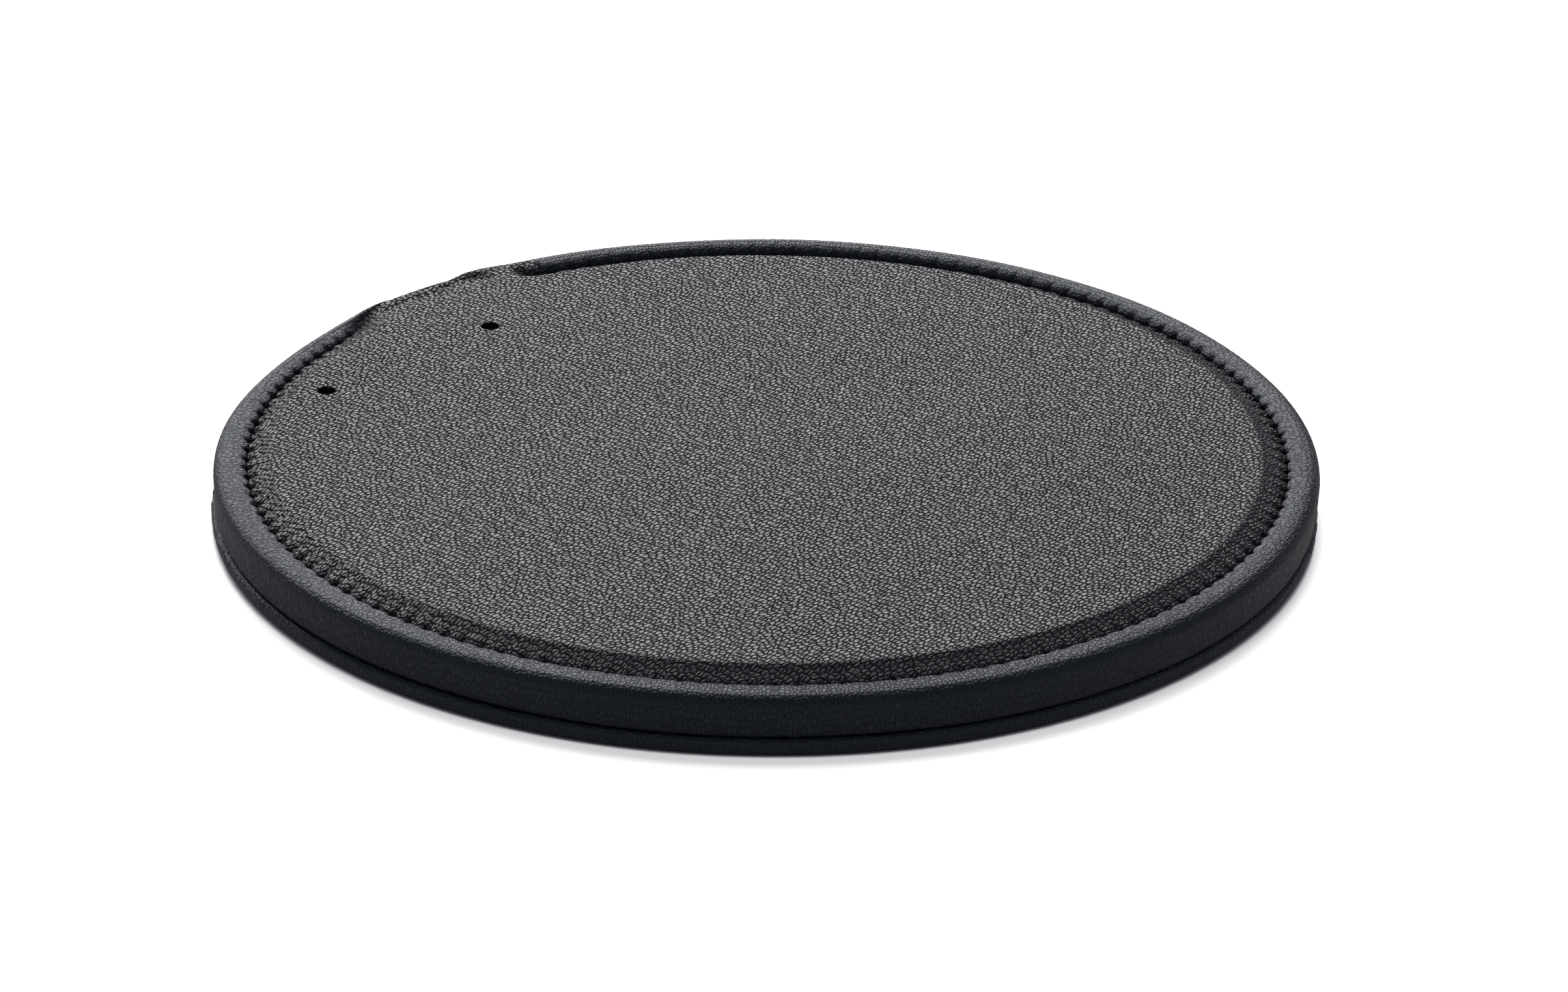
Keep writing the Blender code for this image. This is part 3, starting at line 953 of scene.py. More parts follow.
@dataclass
class BaseCover:
    """Leather wrapped round the base board, gathered where it turns in over the lip."""

    sizes: MatSizes
    columns: int = 1440
    upper_radius: float = 1.0 * MM
    lower_radius: float = 2.2 * MM
    offset: Pair = (-0.40 * MM, 0.10 * MM)       # how far the base sits off the mat's middle
    inset: float = 3.0 * MM                      # how far in from the wall the lip's parts begin
    floor_radii: tuple[float, ...] = (93 * MM, 80 * MM, 60 * MM, 40 * MM, 20 * MM)

    def gather(self, angle: np.ndarray, height: np.ndarray) -> np.ndarray:
        """Small folds of the lip: strongest under its top edge, gone towards the desk.

        Args:
            angle: Angles in degrees.
            height: Heights on the lip.

        Returns:
            How far the leather stands out.
        """
        strength = ease(height, 0.9 * MM, self.sizes.lip_top - 0.5 * MM)
        fine = ripple(angle, 190, 420, 9, 41)
        broad = ripple(angle, 40, 130, 6, 42)
        return (0.045 * fine + 0.05 * broad) * strength * MM

    def build(self, parts: bpy.types.Collection) -> bpy.types.Object:
        """Carry the cover's section round: turned-in edge, lip, underside, and its lining.

        Args:
            parts: Collection that the piece goes in.

        Returns:
            The piece.
        """
        sizes = self.sizes
        angle = np.arange(self.columns) * 360.0 / self.columns
        column = angle[:, None]
        turned = np.radians(column)
        aside = self.offset[0] * np.cos(turned) + self.offset[1] * np.sin(turned)
        shift = 0.08 * MM * ripple(column, 2, 9, 5, 43) + aside
        lip = sizes.lip_radius - 0.10 * MM
        start = sizes.wall_radius - self.inset
        turns = np.linspace(np.pi / 2, 0.0, 9)
        upper_r = lip - self.upper_radius * (1.0 - np.cos(turns))
        upper_z = sizes.lip_top - self.upper_radius * (1.0 - np.sin(turns))
        turns = np.linspace(0.0, -np.pi / 2, 8)
        lower_r = lip - self.lower_radius * (1.0 - np.cos(turns))
        lower_z = self.lower_radius * (1.0 + np.sin(turns))
        radius = np.concatenate([[sizes.turn_in_radius, start], upper_r, lower_r, [start]])
        height = np.concatenate([[sizes.lip_top, sizes.lip_top], upper_z, lower_z, [0.0]])
        outside = ease(radius, lip - 2.5 * MM, lip - 1.0 * MM)
        skin = Skin()
        full_r = radius + outside * (shift + self.gather(column, height))
        outer = skin.add(to_points(column, full_r, height))
        skin.quads(outer, closed=True)
        self.fill(skin, outer[:, -1], angle, 0.0)

        thick = sizes.leather
        side, ceiling = lip - thick, sizes.lip_top - thick
        radius = np.array([sizes.turn_in_radius, side - 0.4 * MM, side, side, side - 0.3 * MM, start])
        height = np.array([ceiling, ceiling, ceiling - 0.5 * MM, thick + 0.4 * MM, thick, thick])
        inner = skin.add(to_points(column, radius, height))
        skin.quads(inner, closed=True)
        skin.quads(np.stack([outer[:, 0], inner[:, 0]], axis=1), closed=True)
        self.fill(skin, inner[:, -1], angle, thick)
        return skin.build("base_leather_cover", parts)

    def fill(self, skin: Skin, fine: np.ndarray, angle: np.ndarray, level: float) -> None:
        """Close the underside inside a fine ring.

        Args:
            skin: Where the faces go.
            fine: Indices of the ring.
            angle: Angles of the ring.
            level: Height of the underside.
        """
        grid = skin.add(to_points(angle[::REDUCE, None], np.array(self.floor_radii), level))
        skin.reduce(fine, grid[:, 0])
        skin.quads(grid, closed=True)
        skin.fan(grid[:, -1], int(skin.add(np.array([[0.0, 0.0, level]]))[0]))


@dataclass
class Stitches:
    """One thread's share of the seam: a closed short tube for each stretch between needle holes."""

    section: Section
    name: str
    thickness: float = 0.42 * MM
    sides: int = 6

    def tubes(self, angle: np.ndarray, radius: np.ndarray, height: np.ndarray, skin: Skin) -> None:
        """Carry a round section along each of many paths.

        Args:
            angle: Path angles in degrees, one path to a row.
            radius: Path radii, the same shape.
            height: Path heights, the same shape.
            skin: Where the tubes go.
        """
        path = to_points(angle, radius, height)
        along = np.gradient(path, axis=1)
        along /= np.linalg.norm(along, axis=2, keepdims=True)
        up = np.broadcast_to(np.array([0.0, 0.0, 1.0]), along.shape)
        side = np.cross(along, up)
        side /= np.linalg.norm(side, axis=2, keepdims=True)
        up = np.cross(side, along)
        turns = np.arange(self.sides) * 2.0 * np.pi / self.sides
        ring = (side[:, :, None] * np.cos(turns)[:, None] + up[:, :, None] * np.sin(turns)[:, None])
        taper = np.ones(path.shape[1])
        taper[[0, -1]] = 0.55
        points = path[:, :, None] + ring * (self.thickness / 2) * taper[None, :, None, None]
        for stretch in points:
            skin.tube(stretch)

    def runs(self, skin: Skin, radius: float, height: float) -> None:
        """Stretches along one side of the seam, dipping into the needle holes at both ends.

        Args:
            skin: Where the tubes go.
            radius: The thread's distance from the mat's axis.
            height: The thread's height.
        """
        shape = self.section.shape
        starts = shape.stitch_angles()[:-1]
        share = np.linspace(0.06, 0.94, 6)
        angle = starts[:, None] + shape.stitch_angle * share[None, :]
        bow = np.sin(np.pi * share) + np.zeros_like(angle)
        side = 1.0 if radius > self.section.sizes.seam_radius else -1.0
        self.tubes(angle, radius + side * (bow - 1.0) * 0.12 * MM, np.full_like(angle, height), skin)

    def rungs(self, skin: Skin) -> None:
        """Slanted crossings that show in the groove, one at each needle hole.

        Args:
            skin: Where the tubes go.
        """
        section, shape = self.section, self.section.shape
        sizes = section.sizes
        starts = shape.stitch_angles()
        offset = np.degrees(shape.stitch_offset[:len(starts)] / sizes.seam_radius)
        share = np.linspace(0.0, 1.0, 6)[None, :]
        angle = (starts + offset)[:, None] + np.degrees(0.7 * MM / sizes.seam_radius) * (share - 0.5)
        radius = sizes.seam_radius + (-0.55 + 1.20 * share) * MM + np.zeros_like(angle)
        level = section.groove_level(starts)[:, None]
        height = level + (-0.72 + 0.22 * np.sin(np.pi * share)) * MM
        self.tubes(angle, radius, height, skin)

    def build(self, parts: bpy.types.Collection) -> bpy.types.Object:
        """Make the needle thread, which crosses the groove, or the bobbin thread, which doesn't.

        Args:
            parts: Collection that the piece goes in.

        Returns:
            The piece.
        """
        low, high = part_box(self.name)
        height = (low.z + high.z) / 2
        skin = Skin()
        self.runs(skin, high.x - (high.z - low.z) / 2, height)
        if self.name == "needle_thread":
            self.rungs(skin)
        return skin.build(self.name.replace("thread", "stitches"), parts)


# ---------------------------------------------------------------- finishes

class Finish(Enum):
    """Named finishes, each of whose values starts its material's name."""

    TOP_LEATHER = "top_leather"
    RIM_LEATHER = "rim_leather"
    BASE_LEATHER = "base_leather"
    THREAD = "thread"
    BOARD = "board"
    CARD = "card"
    FOAM = "foam"


class Nodes:
    """Short way to place and link the nodes of one tree."""

    def __init__(self, tree: bpy.types.NodeTree) -> None:
        """Keep the tree."""
        self.tree = tree

    def place(self, kind: str, values: dict | None = None, **settings: object) -> bpy.types.Node:
        """Add a node, set its properties and fill or link its inputs.

        Args:
            kind: The node's type name.
            values: Input names or numbers, each with a constant or a socket to link from.
            **settings: Properties of the node.

        Returns:
            The new node.
        """
        node = self.tree.nodes.new(kind)
        for key, value in settings.items():
            setattr(node, key, value)
        for key, value in (values or {}).items():
            if isinstance(value, bpy.types.NodeSocket):
                self.tree.links.new(value, node.inputs[key])
            else:
                node.inputs[key].default_value = value
        return node

    def math(self, operation: str, first: object, second: object = 0.0) -> bpy.types.NodeSocket:
        """Add a Math node and return its output."""
        return self.place("ShaderNodeMath", {0: first, 1: second}, operation=operation).outputs[0]

    def scale(self, vector: object, factor: object) -> bpy.types.NodeSocket:
        """Multiply a vector by a number."""
        values = {0: vector, "Scale": factor}
        return self.place("ShaderNodeVectorMath", values, operation="SCALE").outputs[0]

    def remap(self, value: object, low: float, high: float, to_low: float = 0.0,
              to_high: float = 1.0) -> bpy.types.NodeSocket:
        """Map a value smoothly from one range to another.

        Args:
            value: What is mapped.
            low: Start of its range.
            high: End of its range.
            to_low: Start of the new range.
            to_high: End of the new range.

        Returns:
            The mapped value.
        """
        values = {"Value": value, "From Min": low, "From Max": high, "To Min": to_low, "To Max": to_high}
        node = self.place("ShaderNodeMapRange", values, interpolation_type="SMOOTHSTEP")
        return node.outputs["Result"]

    def mix(self, share: object, first: object, second: object) -> bpy.types.NodeSocket:
        """Mix two colours."""
        return self.place("ShaderNodeMix", {0: share, 6: first, 7: second}, data_type="RGBA").outputs[2]

    def noise(self, vector: object, scale: float, detail: float = 2.0) -> bpy.types.Node:
        """Add a Noise Texture node: output 0 is its value and output 1 its colour."""
        return self.place("ShaderNodeTexNoise", {"Vector": vector, "Scale": scale, "Detail": detail})

    def link(self, start: bpy.types.NodeSocket, end: bpy.types.NodeSocket) -> None:
        """Link an output to an input."""
        self.tree.links.new(start, end)


def open_material(name: str) -> tuple[bpy.types.Material, Nodes, bpy.types.Node]:
    """Make a material with nodes.

    Args:
        name: The material's name.

    Returns:
        The material, its tree's helper and its shader.
    """
    material = bpy.data.materials.new(name)
    material.use_nodes = True
    return material, Nodes(material.node_tree), material.node_tree.nodes["Principled BSDF"]


def solid(colour: tuple[float, ...], factor: float = 1.0) -> tuple[float, ...]:
    """Colour with its strength changed and full alpha added."""
    return (*(part * factor for part in colour), 1.0)


class Effects:
    """Shader node groups that several finishes share, each built once.

    Lengths in them are in pebbles.
    """

    DRIFT_SCALE = 0.35       # slow bending of the rows of pebbles
    WAVER_SCALE = 1.5        # wavy edges of a pebble
    FINE_SCALE = 2.1         # cells of the finer creases
    FINE_WIDTH = 0.14
    RANDOMNESS = 0.72
    DOME_RISE = 0.60         # shares of the relief
    CREASE_DROP = 0.40
    FINE_DROP = 0.30
    # FINE_DARKNESS sets the painted shade of a fine crease beside a main one's; the same mask sets its
    # roughness
    FINE_DARKNESS = 0.6      # how dark a fine crease is beside a main one

    def __init__(self) -> None:
        """Build the groups."""
        self.grain = {dimensions: self.make_grain(name, dimensions)
                      for dimensions, name in (("2D", "leather_grain"), ("3D", "cover_grain"))}
        self.dust = self.make_dust()

    @staticmethod
    def start(name: str, inputs: dict[str, float], outputs: list[str]) -> tuple[Nodes, dict, dict]:
        """Open a group with a vector input and float inputs and outputs.

        Args:
            name: The group's name.
            inputs: Float inputs with their defaults.
            outputs: Float outputs.

        Returns:
            The group's node helper, its inputs by name, and its output node's inputs by name.
        """
        tree = bpy.data.node_groups.new(name, "ShaderNodeTree")
        tree.interface.new_socket("Vector", in_out="INPUT", socket_type="NodeSocketVector")
        for key, value in inputs.items():
            socket = tree.interface.new_socket(key, in_out="INPUT", socket_type="NodeSocketFloat")
            socket.default_value = value
        for key in outputs:
            tree.interface.new_socket(key, in_out="OUTPUT", socket_type="NodeSocketFloat")
        nodes = Nodes(tree)
        entry = nodes.place("NodeGroupInput")
        leave = nodes.place("NodeGroupOutput")
        given = {s.name: s for s in entry.outputs if s.name}
        wanted = {s.name: s for s in leave.inputs if s.name}
        return nodes, given, wanted

    def make_grain(self, name: str, dimensions: str) -> bpy.types.NodeTree:
        """Pebbled grain: wavy-edged cells, domed and parted by creases, with finer creases in them.

        The outputs are Height of the grain, Crease, which is 1 in the creases and weighs both their
        painted shade and their roughness, and Tone, one value to a pebble.

        Args:
            name: The group's name.
            dimensions: "2D" for grain laid out flat, "3D" for grain that goes round corners.

        Returns:
            The group.
        """
        names = {"Scale": 1000.0, "Drift": 0.3, "Waver": 0.4, "Dome Width": 0.16, "Crease Width": 0.12,
                 "Fine": 0.35}
        nodes, given, wanted = self.start(name, names, ["Height", "Crease", "Tone"])
        place = nodes.scale(given["Vector"], given["Scale"])
        slow = self.shove(nodes, place, self.DRIFT_SCALE, given["Drift"])
        warped = self.shove(nodes, slow, self.WAVER_SCALE, given["Waver"])

        def cells(scale: float, randomness: float, feature: str) -> bpy.types.Node:
            """Add a Voronoi Texture node on the warped position.

            Args:
                scale: Scale of the cells.
                randomness: How far the cells stray from a square grid, 0 to 1.
                feature: What the node works out.

            Returns:
                The node.
            """
            values = {"Vector": warped, "Scale": scale, "Randomness": randomness}
            return nodes.place("ShaderNodeTexVoronoi", values, feature=feature,
                               voronoi_dimensions=dimensions)

        edge = cells(1.0, self.RANDOMNESS, "DISTANCE_TO_EDGE").outputs["Distance"]
        colour = cells(1.0, self.RANDOMNESS, "F1").outputs["Color"]
        fine = cells(self.FINE_SCALE, 1.0, "DISTANCE_TO_EDGE").outputs["Distance"]
        uneven = nodes.remap(nodes.noise(place, 0.9).outputs[0], 0.3, 0.7, 0.75, 1.25)
        wide = nodes.math("MULTIPLY", given["Crease Width"], uneven)
        crease = nodes.remap(nodes.math("DIVIDE", edge, wide), 0.0, 1.0, 1.0, 0.0)
        dome = nodes.remap(nodes.math("DIVIDE", edge, given["Dome Width"]), 0.0, 1.0)
        fine_crease = nodes.math("MULTIPLY", given["Fine"],
                                 nodes.remap(fine, 0.0, self.FINE_WIDTH, 1.0, 0.0))
        height = nodes.math("SUBTRACT", nodes.math("MULTIPLY", dome, self.DOME_RISE),
                            nodes.math("MULTIPLY", crease, self.CREASE_DROP))
        height = nodes.math("SUBTRACT", height, nodes.math("MULTIPLY", fine_crease, self.FINE_DROP))
        # painted shade: this mask darkens the colour of the creases, standing in for the shade that falls
        # in them; it also sets their roughness
        dark = nodes.math("MAXIMUM", crease, nodes.math("MULTIPLY", fine_crease, self.FINE_DARKNESS))
        nodes.link(height, wanted["Height"])
        nodes.link(dark, wanted["Crease"])
        nodes.link(nodes.place("ShaderNodeSeparateColor", {"Color": colour}).outputs[0], wanted["Tone"])
        return nodes.tree

    @staticmethod
    def shove(nodes: Nodes, place: bpy.types.NodeSocket, scale: float,
              amount: bpy.types.NodeSocket) -> bpy.types.NodeSocket:
        """Move a position about by a noise.

        Args:
            nodes: Where the nodes go.
            place: The position.
            scale: Scale of the noise.
            amount: How far it moves.

        Returns:
            The moved position.
        """
        values = {0: nodes.noise(place, scale, 1.0).outputs[1], 1: (0.5, 0.5, 0.5)}
        centred = nodes.place("ShaderNodeVectorMath", values, operation="SUBTRACT").outputs[0]
        push = nodes.scale(centred, amount)
        return nodes.place("ShaderNodeVectorMath", {0: place, 1: push}, operation="ADD").outputs[0]

    def make_dust(self) -> bpy.types.NodeTree:
        """Sparse pale specks: a small dot in few of the cells.

        The output is Speck, which is 1 on a speck.

        Returns:
            The group.
        """
        names = {"Scale": 400.0, "Size": 0.045, "Share": 0.03}
        nodes, given, wanted = self.start("dust", names, ["Speck"])
        cells = nodes.place("ShaderNodeTexVoronoi", {"Vector": given["Vector"], "Scale": given["Scale"]},
                            feature="F1")
        chosen = nodes.place("ShaderNodeSeparateColor", {"Color": cells.outputs["Color"]}).outputs[1]
        near = nodes.math("LESS_THAN", cells.outputs["Distance"], given["Size"])
        few = nodes.math("LESS_THAN", chosen, given["Share"])
        nodes.link(nodes.math("MULTIPLY", near, few), wanted["Speck"])
        return nodes.tree


class Lay(Enum):
    """How a leather's grain is laid on its piece."""

    FLAT = "straight across the top, and over the edge at the tab"
    ALONG = "along the rim"
    ROUND = "through the piece, whichever way it faces"

    @property
    def dimensions(self) -> str:
        """Dimensions of the cells that make the grain."""
        return "2D" if self is Lay.FLAT else "3D"


@dataclass(frozen=True)
class Leather:
    """A grained leather finish."""

    slot: Finish
    lay: Lay
    colour: tuple[float, float, float]
    # painted shade: the colour that the creases are darkened to, in place of the shade that falls in them
    crease_shade_colour: tuple[float, float, float]
    tint: tuple[float, float, float]     # of its gloss
    roughness: float
    crease_roughness: float
    specular: float
    pebbles: float           # to a metre
    stretch: tuple[float, float, float]
    heading: float           # degrees that the grain is turned about Z
    depth: float             # of the relief
    crease_width: float      # in pebbles
    fine: float              # strength of the finer creases, 0 to 1
    specks: float            # how often a speck of dust lies on it, 0 to 1

    SPECK = (0.55, 0.55, 0.53)
    TONE = 0.06              # how far one pebble's colour strays from the next
    MOTTLE = 0.035           # how far the roughness wanders
    MICRO = 0.05             # relief finer than the grain, as a share of it
    JOINT = math.radians(47.6)           # turns the joint of the unrolled grain to the tab
    ROLL_RADIUS = 100.0 * MM
    FOLD_TOP = 12.4 * MM     # the tab's grain goes down from this height
    FOLD_RADII = (95.0 * MM, 96.5 * MM)

    def make(self, effects: Effects) -> bpy.types.Material:
        """Build the material's nodes.

        Args:
            effects: The shared groups.

        Returns:
            The material.
        """
        material, nodes, shader = open_material(self.slot.value + "_finish")
        where = nodes.place("ShaderNodeTexCoord").outputs["Object"]
        laid = self.lay_out(nodes, where)
        turned = nodes.place("ShaderNodeMapping", {"Vector": laid, "Scale": self.stretch,
                                                   "Rotation": (0.0, 0.0, math.radians(self.heading))},
                             vector_type="TEXTURE").outputs[0]
        grain = nodes.place("ShaderNodeGroup", node_tree=effects.grain[self.lay.dimensions])
        for key, value in (("Scale", self.pebbles), ("Crease Width", self.crease_width),
                           ("Fine", self.fine)):
            grain.inputs[key].default_value = value
        nodes.link(turned, grain.inputs["Vector"])
        dust = nodes.place("ShaderNodeGroup", {"Vector": laid}, node_tree=effects.dust)
        dust.inputs["Share"].default_value = self.specks
        crease = grain.outputs["Crease"]
        shade = nodes.mix(grain.outputs["Tone"], solid(self.colour, 1.0 - self.TONE),
                          solid(self.colour, 1.0 + self.TONE))
        # painted shade: creases are mixed towards a darker colour, standing in for the shade in them
        shade = nodes.mix(crease, shade, solid(self.crease_shade_colour))
        shade = nodes.mix(dust.outputs["Speck"], shade, solid(self.SPECK))
        slow = nodes.noise(where, 22.0, 3.0).outputs[0]
        rough = nodes.math("ADD", nodes.remap(crease, 0.0, 1.0, self.roughness, self.crease_roughness),
                           nodes.remap(slow, 0.25, 0.75, -self.MOTTLE, self.MOTTLE))
        micro = nodes.math("MULTIPLY", nodes.noise(where, 5200.0).outputs[0], self.MICRO)
        relief = nodes.math("ADD", grain.outputs["Height"], micro)
        bump = nodes.place("ShaderNodeBump", {"Height": relief, "Strength": 1.0, "Distance": self.depth})
        nodes.link(shade, shader.inputs["Base Color"])
        nodes.link(rough, shader.inputs["Roughness"])
        nodes.link(bump.outputs["Normal"], shader.inputs["Normal"])
        shader.inputs["Specular IOR Level"].default_value = self.specular
        shader.inputs["Specular Tint"].default_value = solid(self.tint)
        return material

    def lay_out(self, nodes: Nodes, where: bpy.types.NodeSocket) -> bpy.types.NodeSocket:
        """Turn a position on the piece into a position on the grain.

        Laid along the rim, it is length round the rim, radius and height. Laid flat, it is
        stretched outwards past the seam by its depth below the top, so the grain goes over the edge.

        Args:
            nodes: Where the nodes go.
            where: Position on the piece.

        Returns:
            Position on the grain.
        """
        if self.lay is Lay.ROUND:
            return where
        if self.lay is Lay.ALONG:
            where = nodes.place("ShaderNodeMapping", {"Vector": where,
                                                      "Rotation": (0.0, 0.0, self.JOINT)}).outputs[0]
        x, y, z = nodes.place("ShaderNodeSeparateXYZ", {0: where}).outputs
        out = nodes.math("SQRT", nodes.math("ADD", nodes.math("MULTIPLY", x, x),
                                            nodes.math("MULTIPLY", y, y)))
        if self.lay is Lay.ALONG:
            around = nodes.math("MULTIPLY", nodes.math("ARCTAN2", y, x), self.ROLL_RADIUS)
            return nodes.place("ShaderNodeCombineXYZ", {0: around, 1: out, 2: z}).outputs[0]
        depth = nodes.math("MAXIMUM", nodes.math("SUBTRACT", self.FOLD_TOP, z), 0.0)
        over = nodes.math("MULTIPLY", depth, nodes.remap(out, *self.FOLD_RADII))
        return nodes.scale(where, nodes.math("ADD", nodes.math("DIVIDE", over, out), 1.0))


@dataclass(frozen=True)
class Plain:
    """A finish of the hidden pieces and the thread: mottled colour and a fine relief."""

    slot: Finish
    colour: tuple[float, float, float]
    other: tuple[float, float, float]
    roughness: float
    scale: float
    depth: float

    def make(self) -> bpy.types.Material:
        """Build the material's nodes.

        Returns:
            The material.
        """
        material, nodes, shader = open_material(self.slot.value + "_finish")
        where = nodes.place("ShaderNodeTexCoord").outputs["Object"]
        noise = nodes.noise(where, self.scale, 4.0).outputs[0]
        bump = nodes.place("ShaderNodeBump", {"Height": noise, "Distance": self.depth})
        nodes.link(nodes.mix(nodes.remap(noise, 0.3, 0.7), solid(self.colour), solid(self.other)),
                   shader.inputs["Base Color"])
        nodes.link(bump.outputs["Normal"], shader.inputs["Normal"])
        shader.inputs["Roughness"].default_value = self.roughness
        return material


# each crease colour is painted shade, darker than its leather's own colour
LEATHERS = (
    Leather(Finish.TOP_LEATHER, Lay.FLAT, colour=(0.010, 0.011, 0.014),
            crease_shade_colour=(0.001, 0.001, 0.002), tint=(0.93, 0.96, 1.0), roughness=0.245,
            crease_roughness=0.94, specular=0.53, pebbles=1050.0, stretch=(1.4, 0.85, 1.0),
            heading=50.0, depth=0.66 * MM, crease_width=0.27, fine=0.08, specks=0.03),
    Leather(Finish.RIM_LEATHER, Lay.ALONG, colour=(0.0100, 0.0125, 0.0180),
            crease_shade_colour=(0.007, 0.009, 0.013), tint=(0.80, 0.89, 1.0), roughness=0.39,
            crease_roughness=0.52, specular=0.46, pebbles=1000.0, stretch=(0.75, 1.1, 1.5),
            heading=0.0, depth=0.17 * MM, crease_width=0.24, fine=0.30, specks=0.35),
    # painted light: the base leather's colour is set lighter than the rim band's to make up for how little
    # light reaches the lip
    Leather(Finish.BASE_LEATHER, Lay.ROUND, colour=(0.0135, 0.0160, 0.0225),
            crease_shade_colour=(0.009, 0.011, 0.016), tint=(0.76, 0.87, 1.0), roughness=0.42,
            crease_roughness=0.5, specular=0.5, pebbles=1100.0, stretch=(0.9, 1.0, 1.3),
            heading=0.0, depth=0.14 * MM, crease_width=0.26, fine=0.4, specks=0.35),
)
PLAINS = (
    Plain(Finish.THREAD, (0.006, 0.006, 0.008), (0.012, 0.012, 0.014), 0.55, 4000.0, 0.05 * MM),
    Plain(Finish.BOARD, (0.30, 0.22, 0.15), (0.38, 0.30, 0.21), 0.85, 900.0, 0.05 * MM),
    Plain(Finish.CARD, (0.012, 0.012, 0.013), (0.020, 0.020, 0.021), 0.9, 1500.0, 0.03 * MM),
    Plain(Finish.FOAM, (0.008, 0.008, 0.009), (0.016, 0.016, 0.018), 0.95, 1800.0, 0.1 * MM),
)


# ---------------------------------------------------------------- setting

@dataclass
class Setting:
    """Floor, lights and camera."""

    lens: float = 151.57
    distance: float = 1.2
    elevation: float = 24.79
    pan: float = -0.149
    tilt: float = -0.121
    roll: float = 0.555
    paper: tuple[float, float, float] = (0.95, 0.95, 0.95)
    floor_echo: tuple[float, float, float] = (0.22, 0.22, 0.22)
    surround: tuple[float, float, float] = (0.20, 0.21, 0.235)
    back_power: float = 38.0
    paper_lights: tuple[tuple[str, float, float, float], ...] = (
        ("paper_light_back", 0.0, 66.0, 60.0), ("paper_light_front", 180.0, 68.0, 34.0))

    def camera(self) -> None:
        """Aim the camera at the middle of the mat's footprint, then nudge and roll it."""
        data = bpy.data.cameras.new("camera")
        data.lens = self.lens
        data.sensor_width = 36.0
        data.clip_start = 0.05
        item = bpy.data.objects.new("camera", data)
        rise = math.radians(self.elevation)
        place = Vector((0.0, -math.cos(rise), math.sin(rise))) * self.distance
        aim = (-place).to_track_quat("-Z", "Y").to_matrix()
        nudge = (Matrix.Rotation(math.radians(self.pan), 3, "Y")
                 @ Matrix.Rotation(math.radians(-self.tilt), 3, "X")
                 @ Matrix.Rotation(math.radians(self.roll), 3, "Z"))
        item.matrix_world = Matrix.Translation(place) @ (aim @ nudge).to_4x4()
        bpy.context.scene.collection.objects.link(item)
        bpy.context.scene.camera = item

    def floor(self) -> bpy.types.Object:
        """Wide pale floor that the mat's leather mirrors only dimly, as if it lay far off.

        Returns:
            The floor.
        """
        mesh = bpy.data.meshes.new("floor")
        reach = 3.0
        mesh.from_pydata([(-reach, -reach, 0), (reach, -reach, 0), (reach, reach, 0), (-reach, reach, 0)],
                         [], [(0, 1, 2, 3)])
        item = bpy.data.objects.new("floor", mesh)
        bpy.context.scene.collection.objects.link(item)
        material, nodes, shader = open_material("floor_paper")
        seen = nodes.place("ShaderNodeLightPath").outputs["Is Camera Ray"]
        nodes.link(nodes.mix(seen, solid(self.floor_echo), solid(self.paper)), shader.inputs["Base Color"])
        shader.inputs["Roughness"].default_value = 1.0
        shader.inputs["Specular IOR Level"].default_value = 0.0
        mesh.materials.append(material)
        return item

    def light(self, name: str, azimuth: float, elevation: float, distance: float,
              size: tuple[float, float], power: float) -> bpy.types.Object:
        """Place a soft rectangular light that faces the mat.

        Args:
            name: The light's name.
            azimuth: Degrees from the back of the mat, positive to the right.
            elevation: Degrees above the floor.
            distance: Metres from the mat's middle.
            size: Width and height in metres.
            power: Watts.

        Returns:
            The light.
        """
        data = bpy.data.lights.new(name, "AREA")
        data.shape = "RECTANGLE"
        data.size, data.size_y = size
        data.energy = power
        item = bpy.data.objects.new(name, data)
        turned, rise = math.radians(azimuth), math.radians(elevation)
        level = math.cos(rise)
        place = Vector((math.sin(turned) * level, math.cos(turned) * level, math.sin(rise)))
        item.location = place * distance
        item.rotation_mode = "QUATERNION"
        item.rotation_quaternion = place.to_track_quat("Z", "Y")
        bpy.context.scene.collection.objects.link(item)
        return item

    def lights(self, floor: bpy.types.Object) -> None:
        """Large soft light low behind the mat, lights for the paper alone, and a dim surround.

        Args:
            floor: The paper.
        """
        self.light("back_light", -14.0, 27.0, 2.2, (2.1, 1.6), self.back_power)
        paper = bpy.data.collections.new("paper")
        paper.objects.link(floor)
        for name, azimuth, elevation, power in self.paper_lights:
            lamp = self.light(name, azimuth, elevation, 2.4, (1.3, 1.3), power)
            lamp.light_linking.receiver_collection = paper
        world = bpy.data.worlds.new("surround")
        world.use_nodes = True
        nodes = Nodes(world.node_tree)
        seen = nodes.place("ShaderNodeLightPath").outputs["Is Camera Ray"]
        nodes.link(nodes.mix(seen, solid(self.surround), solid(self.paper)),
                   world.node_tree.nodes["Background"].inputs[0])
        bpy.context.scene.world = world
        bpy.context.scene.view_settings.view_transform = "Standard"


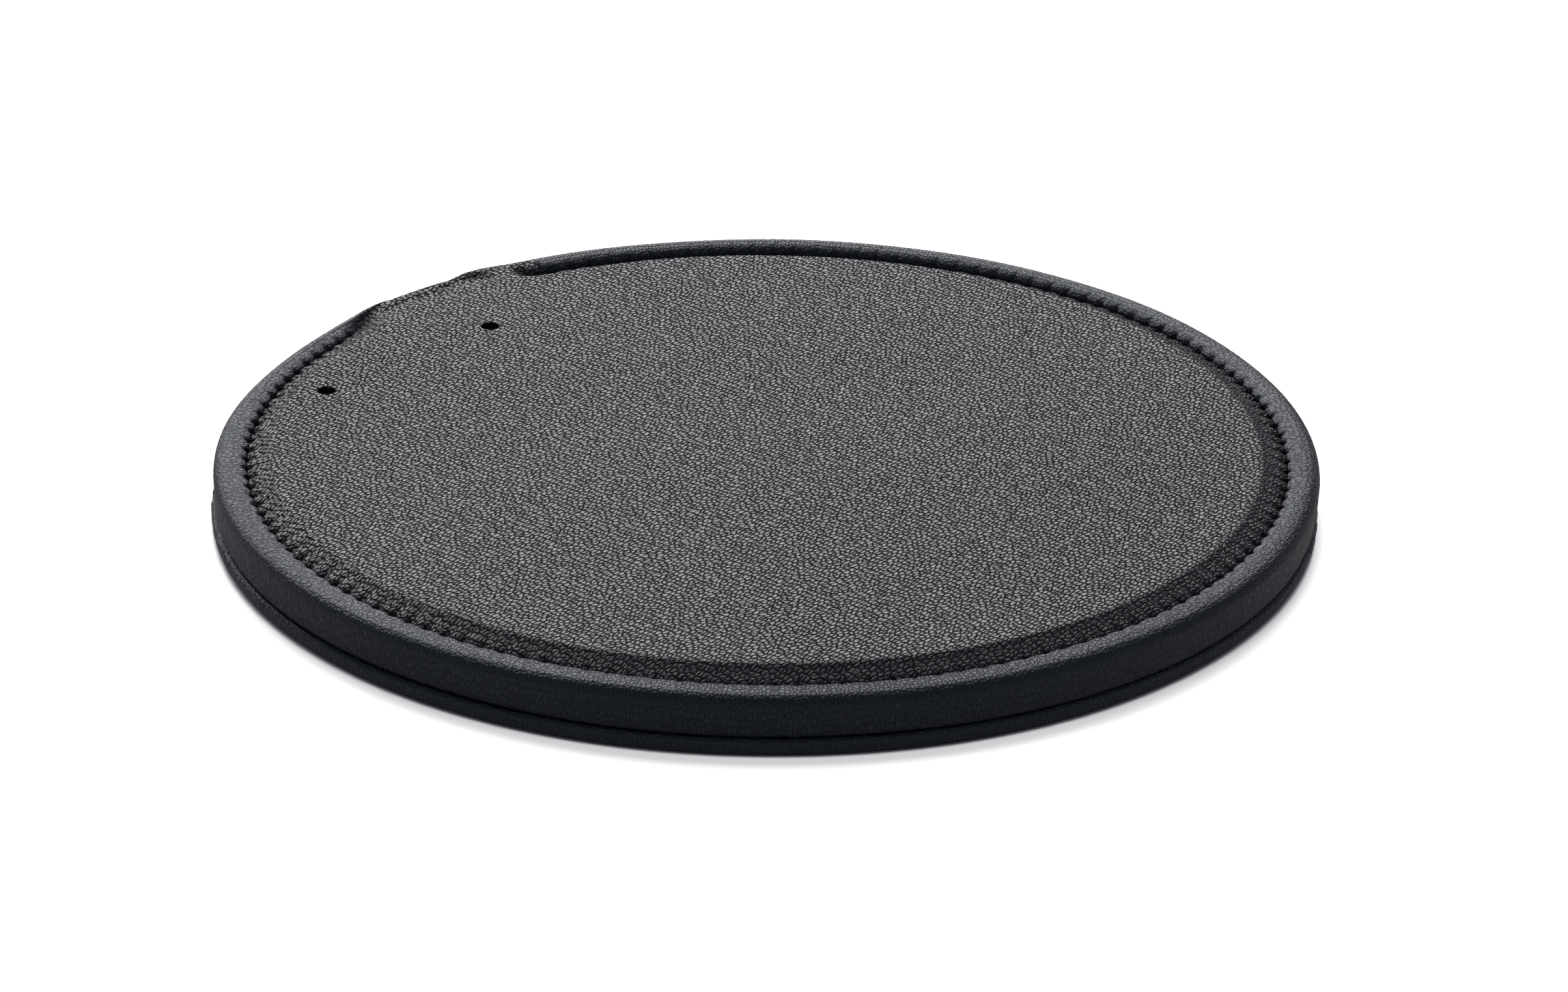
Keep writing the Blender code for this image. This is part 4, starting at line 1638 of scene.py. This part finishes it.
def dress(item: bpy.types.Object, finish: Finish, finishes: dict[Finish, bpy.types.Material]) -> None:
    """Give a piece or a CAD node its finish.

    Args:
        item: The piece.
        finish: Which finish.
        finishes: The materials.
    """
    item.data.materials.clear()
    item.data.materials.append(finishes[finish])


def place_piece(item: bpy.types.Object, finish: Finish, finishes: dict[Finish, bpy.types.Material],
                *nodes: str) -> None:
    """Dress a new piece, let it ride on the mat's body and stand for its CAD nodes.

    Args:
        item: The piece.
        finish: Its finish.
        finishes: The materials.
        *nodes: Names of the CAD nodes.
    """
    dress(item, finish, finishes)
    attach(item, BODY)
    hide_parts(*nodes)
    LOG.info("%s: %d faces, stands for %s", item.name, len(item.data.polygons), ", ".join(nodes))


def main() -> None:
    """Build the mat's pieces round the frame, then the floor, lights and camera."""
    logging.basicConfig(level=logging.INFO, format="%(name)s %(message)s")
    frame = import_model()
    sizes = MatSizes.from_frame()
    shape = MatShape(sizes)
    section = Section(shape)
    effects = Effects()
    finishes = {leather.slot: leather.make(effects) for leather in LEATHERS}
    finishes.update({plain.slot: plain.make() for plain in PLAINS})
    parts = bpy.context.scene.collection
    setting = Setting()
    setting.camera()

    for node, finish in (("base_board", Finish.BOARD), ("core_board", Finish.BOARD),
                         ("filler_card", Finish.CARD)):
        dress(frame["nodes"][node], finish, finishes)

    holes = VentHoles(sizes)
    panel = TopPanel(section).build(parts)
    holes.cut(panel, sizes.seam_foot, sizes.top, True, parts)
    place_piece(panel, Finish.TOP_LEATHER, finishes, "top_panel")
    foam = FoamPad(sizes).build(parts)
    holes.cut(foam, sizes.seam_foot - 1.0 * MM, sizes.top, False, parts)
    place_piece(foam, Finish.FOAM, finishes, "top_foam")
    padding = RimPadding(section).build(parts)
    place_piece(padding, Finish.FOAM, finishes, "rim_filler")
    place_piece(RimBand(section).build(parts), Finish.RIM_LEATHER, finishes, "rim_band")
    place_piece(BaseCover(sizes).build(parts), Finish.BASE_LEATHER, finishes, "base_cover")
    for name in ("needle_thread", "bobbin_thread"):
        place_piece(Stitches(section, name).build(parts), Finish.THREAD, finishes, name)

    setting.lights(setting.floor())


if __name__ == "__main__":
    main()
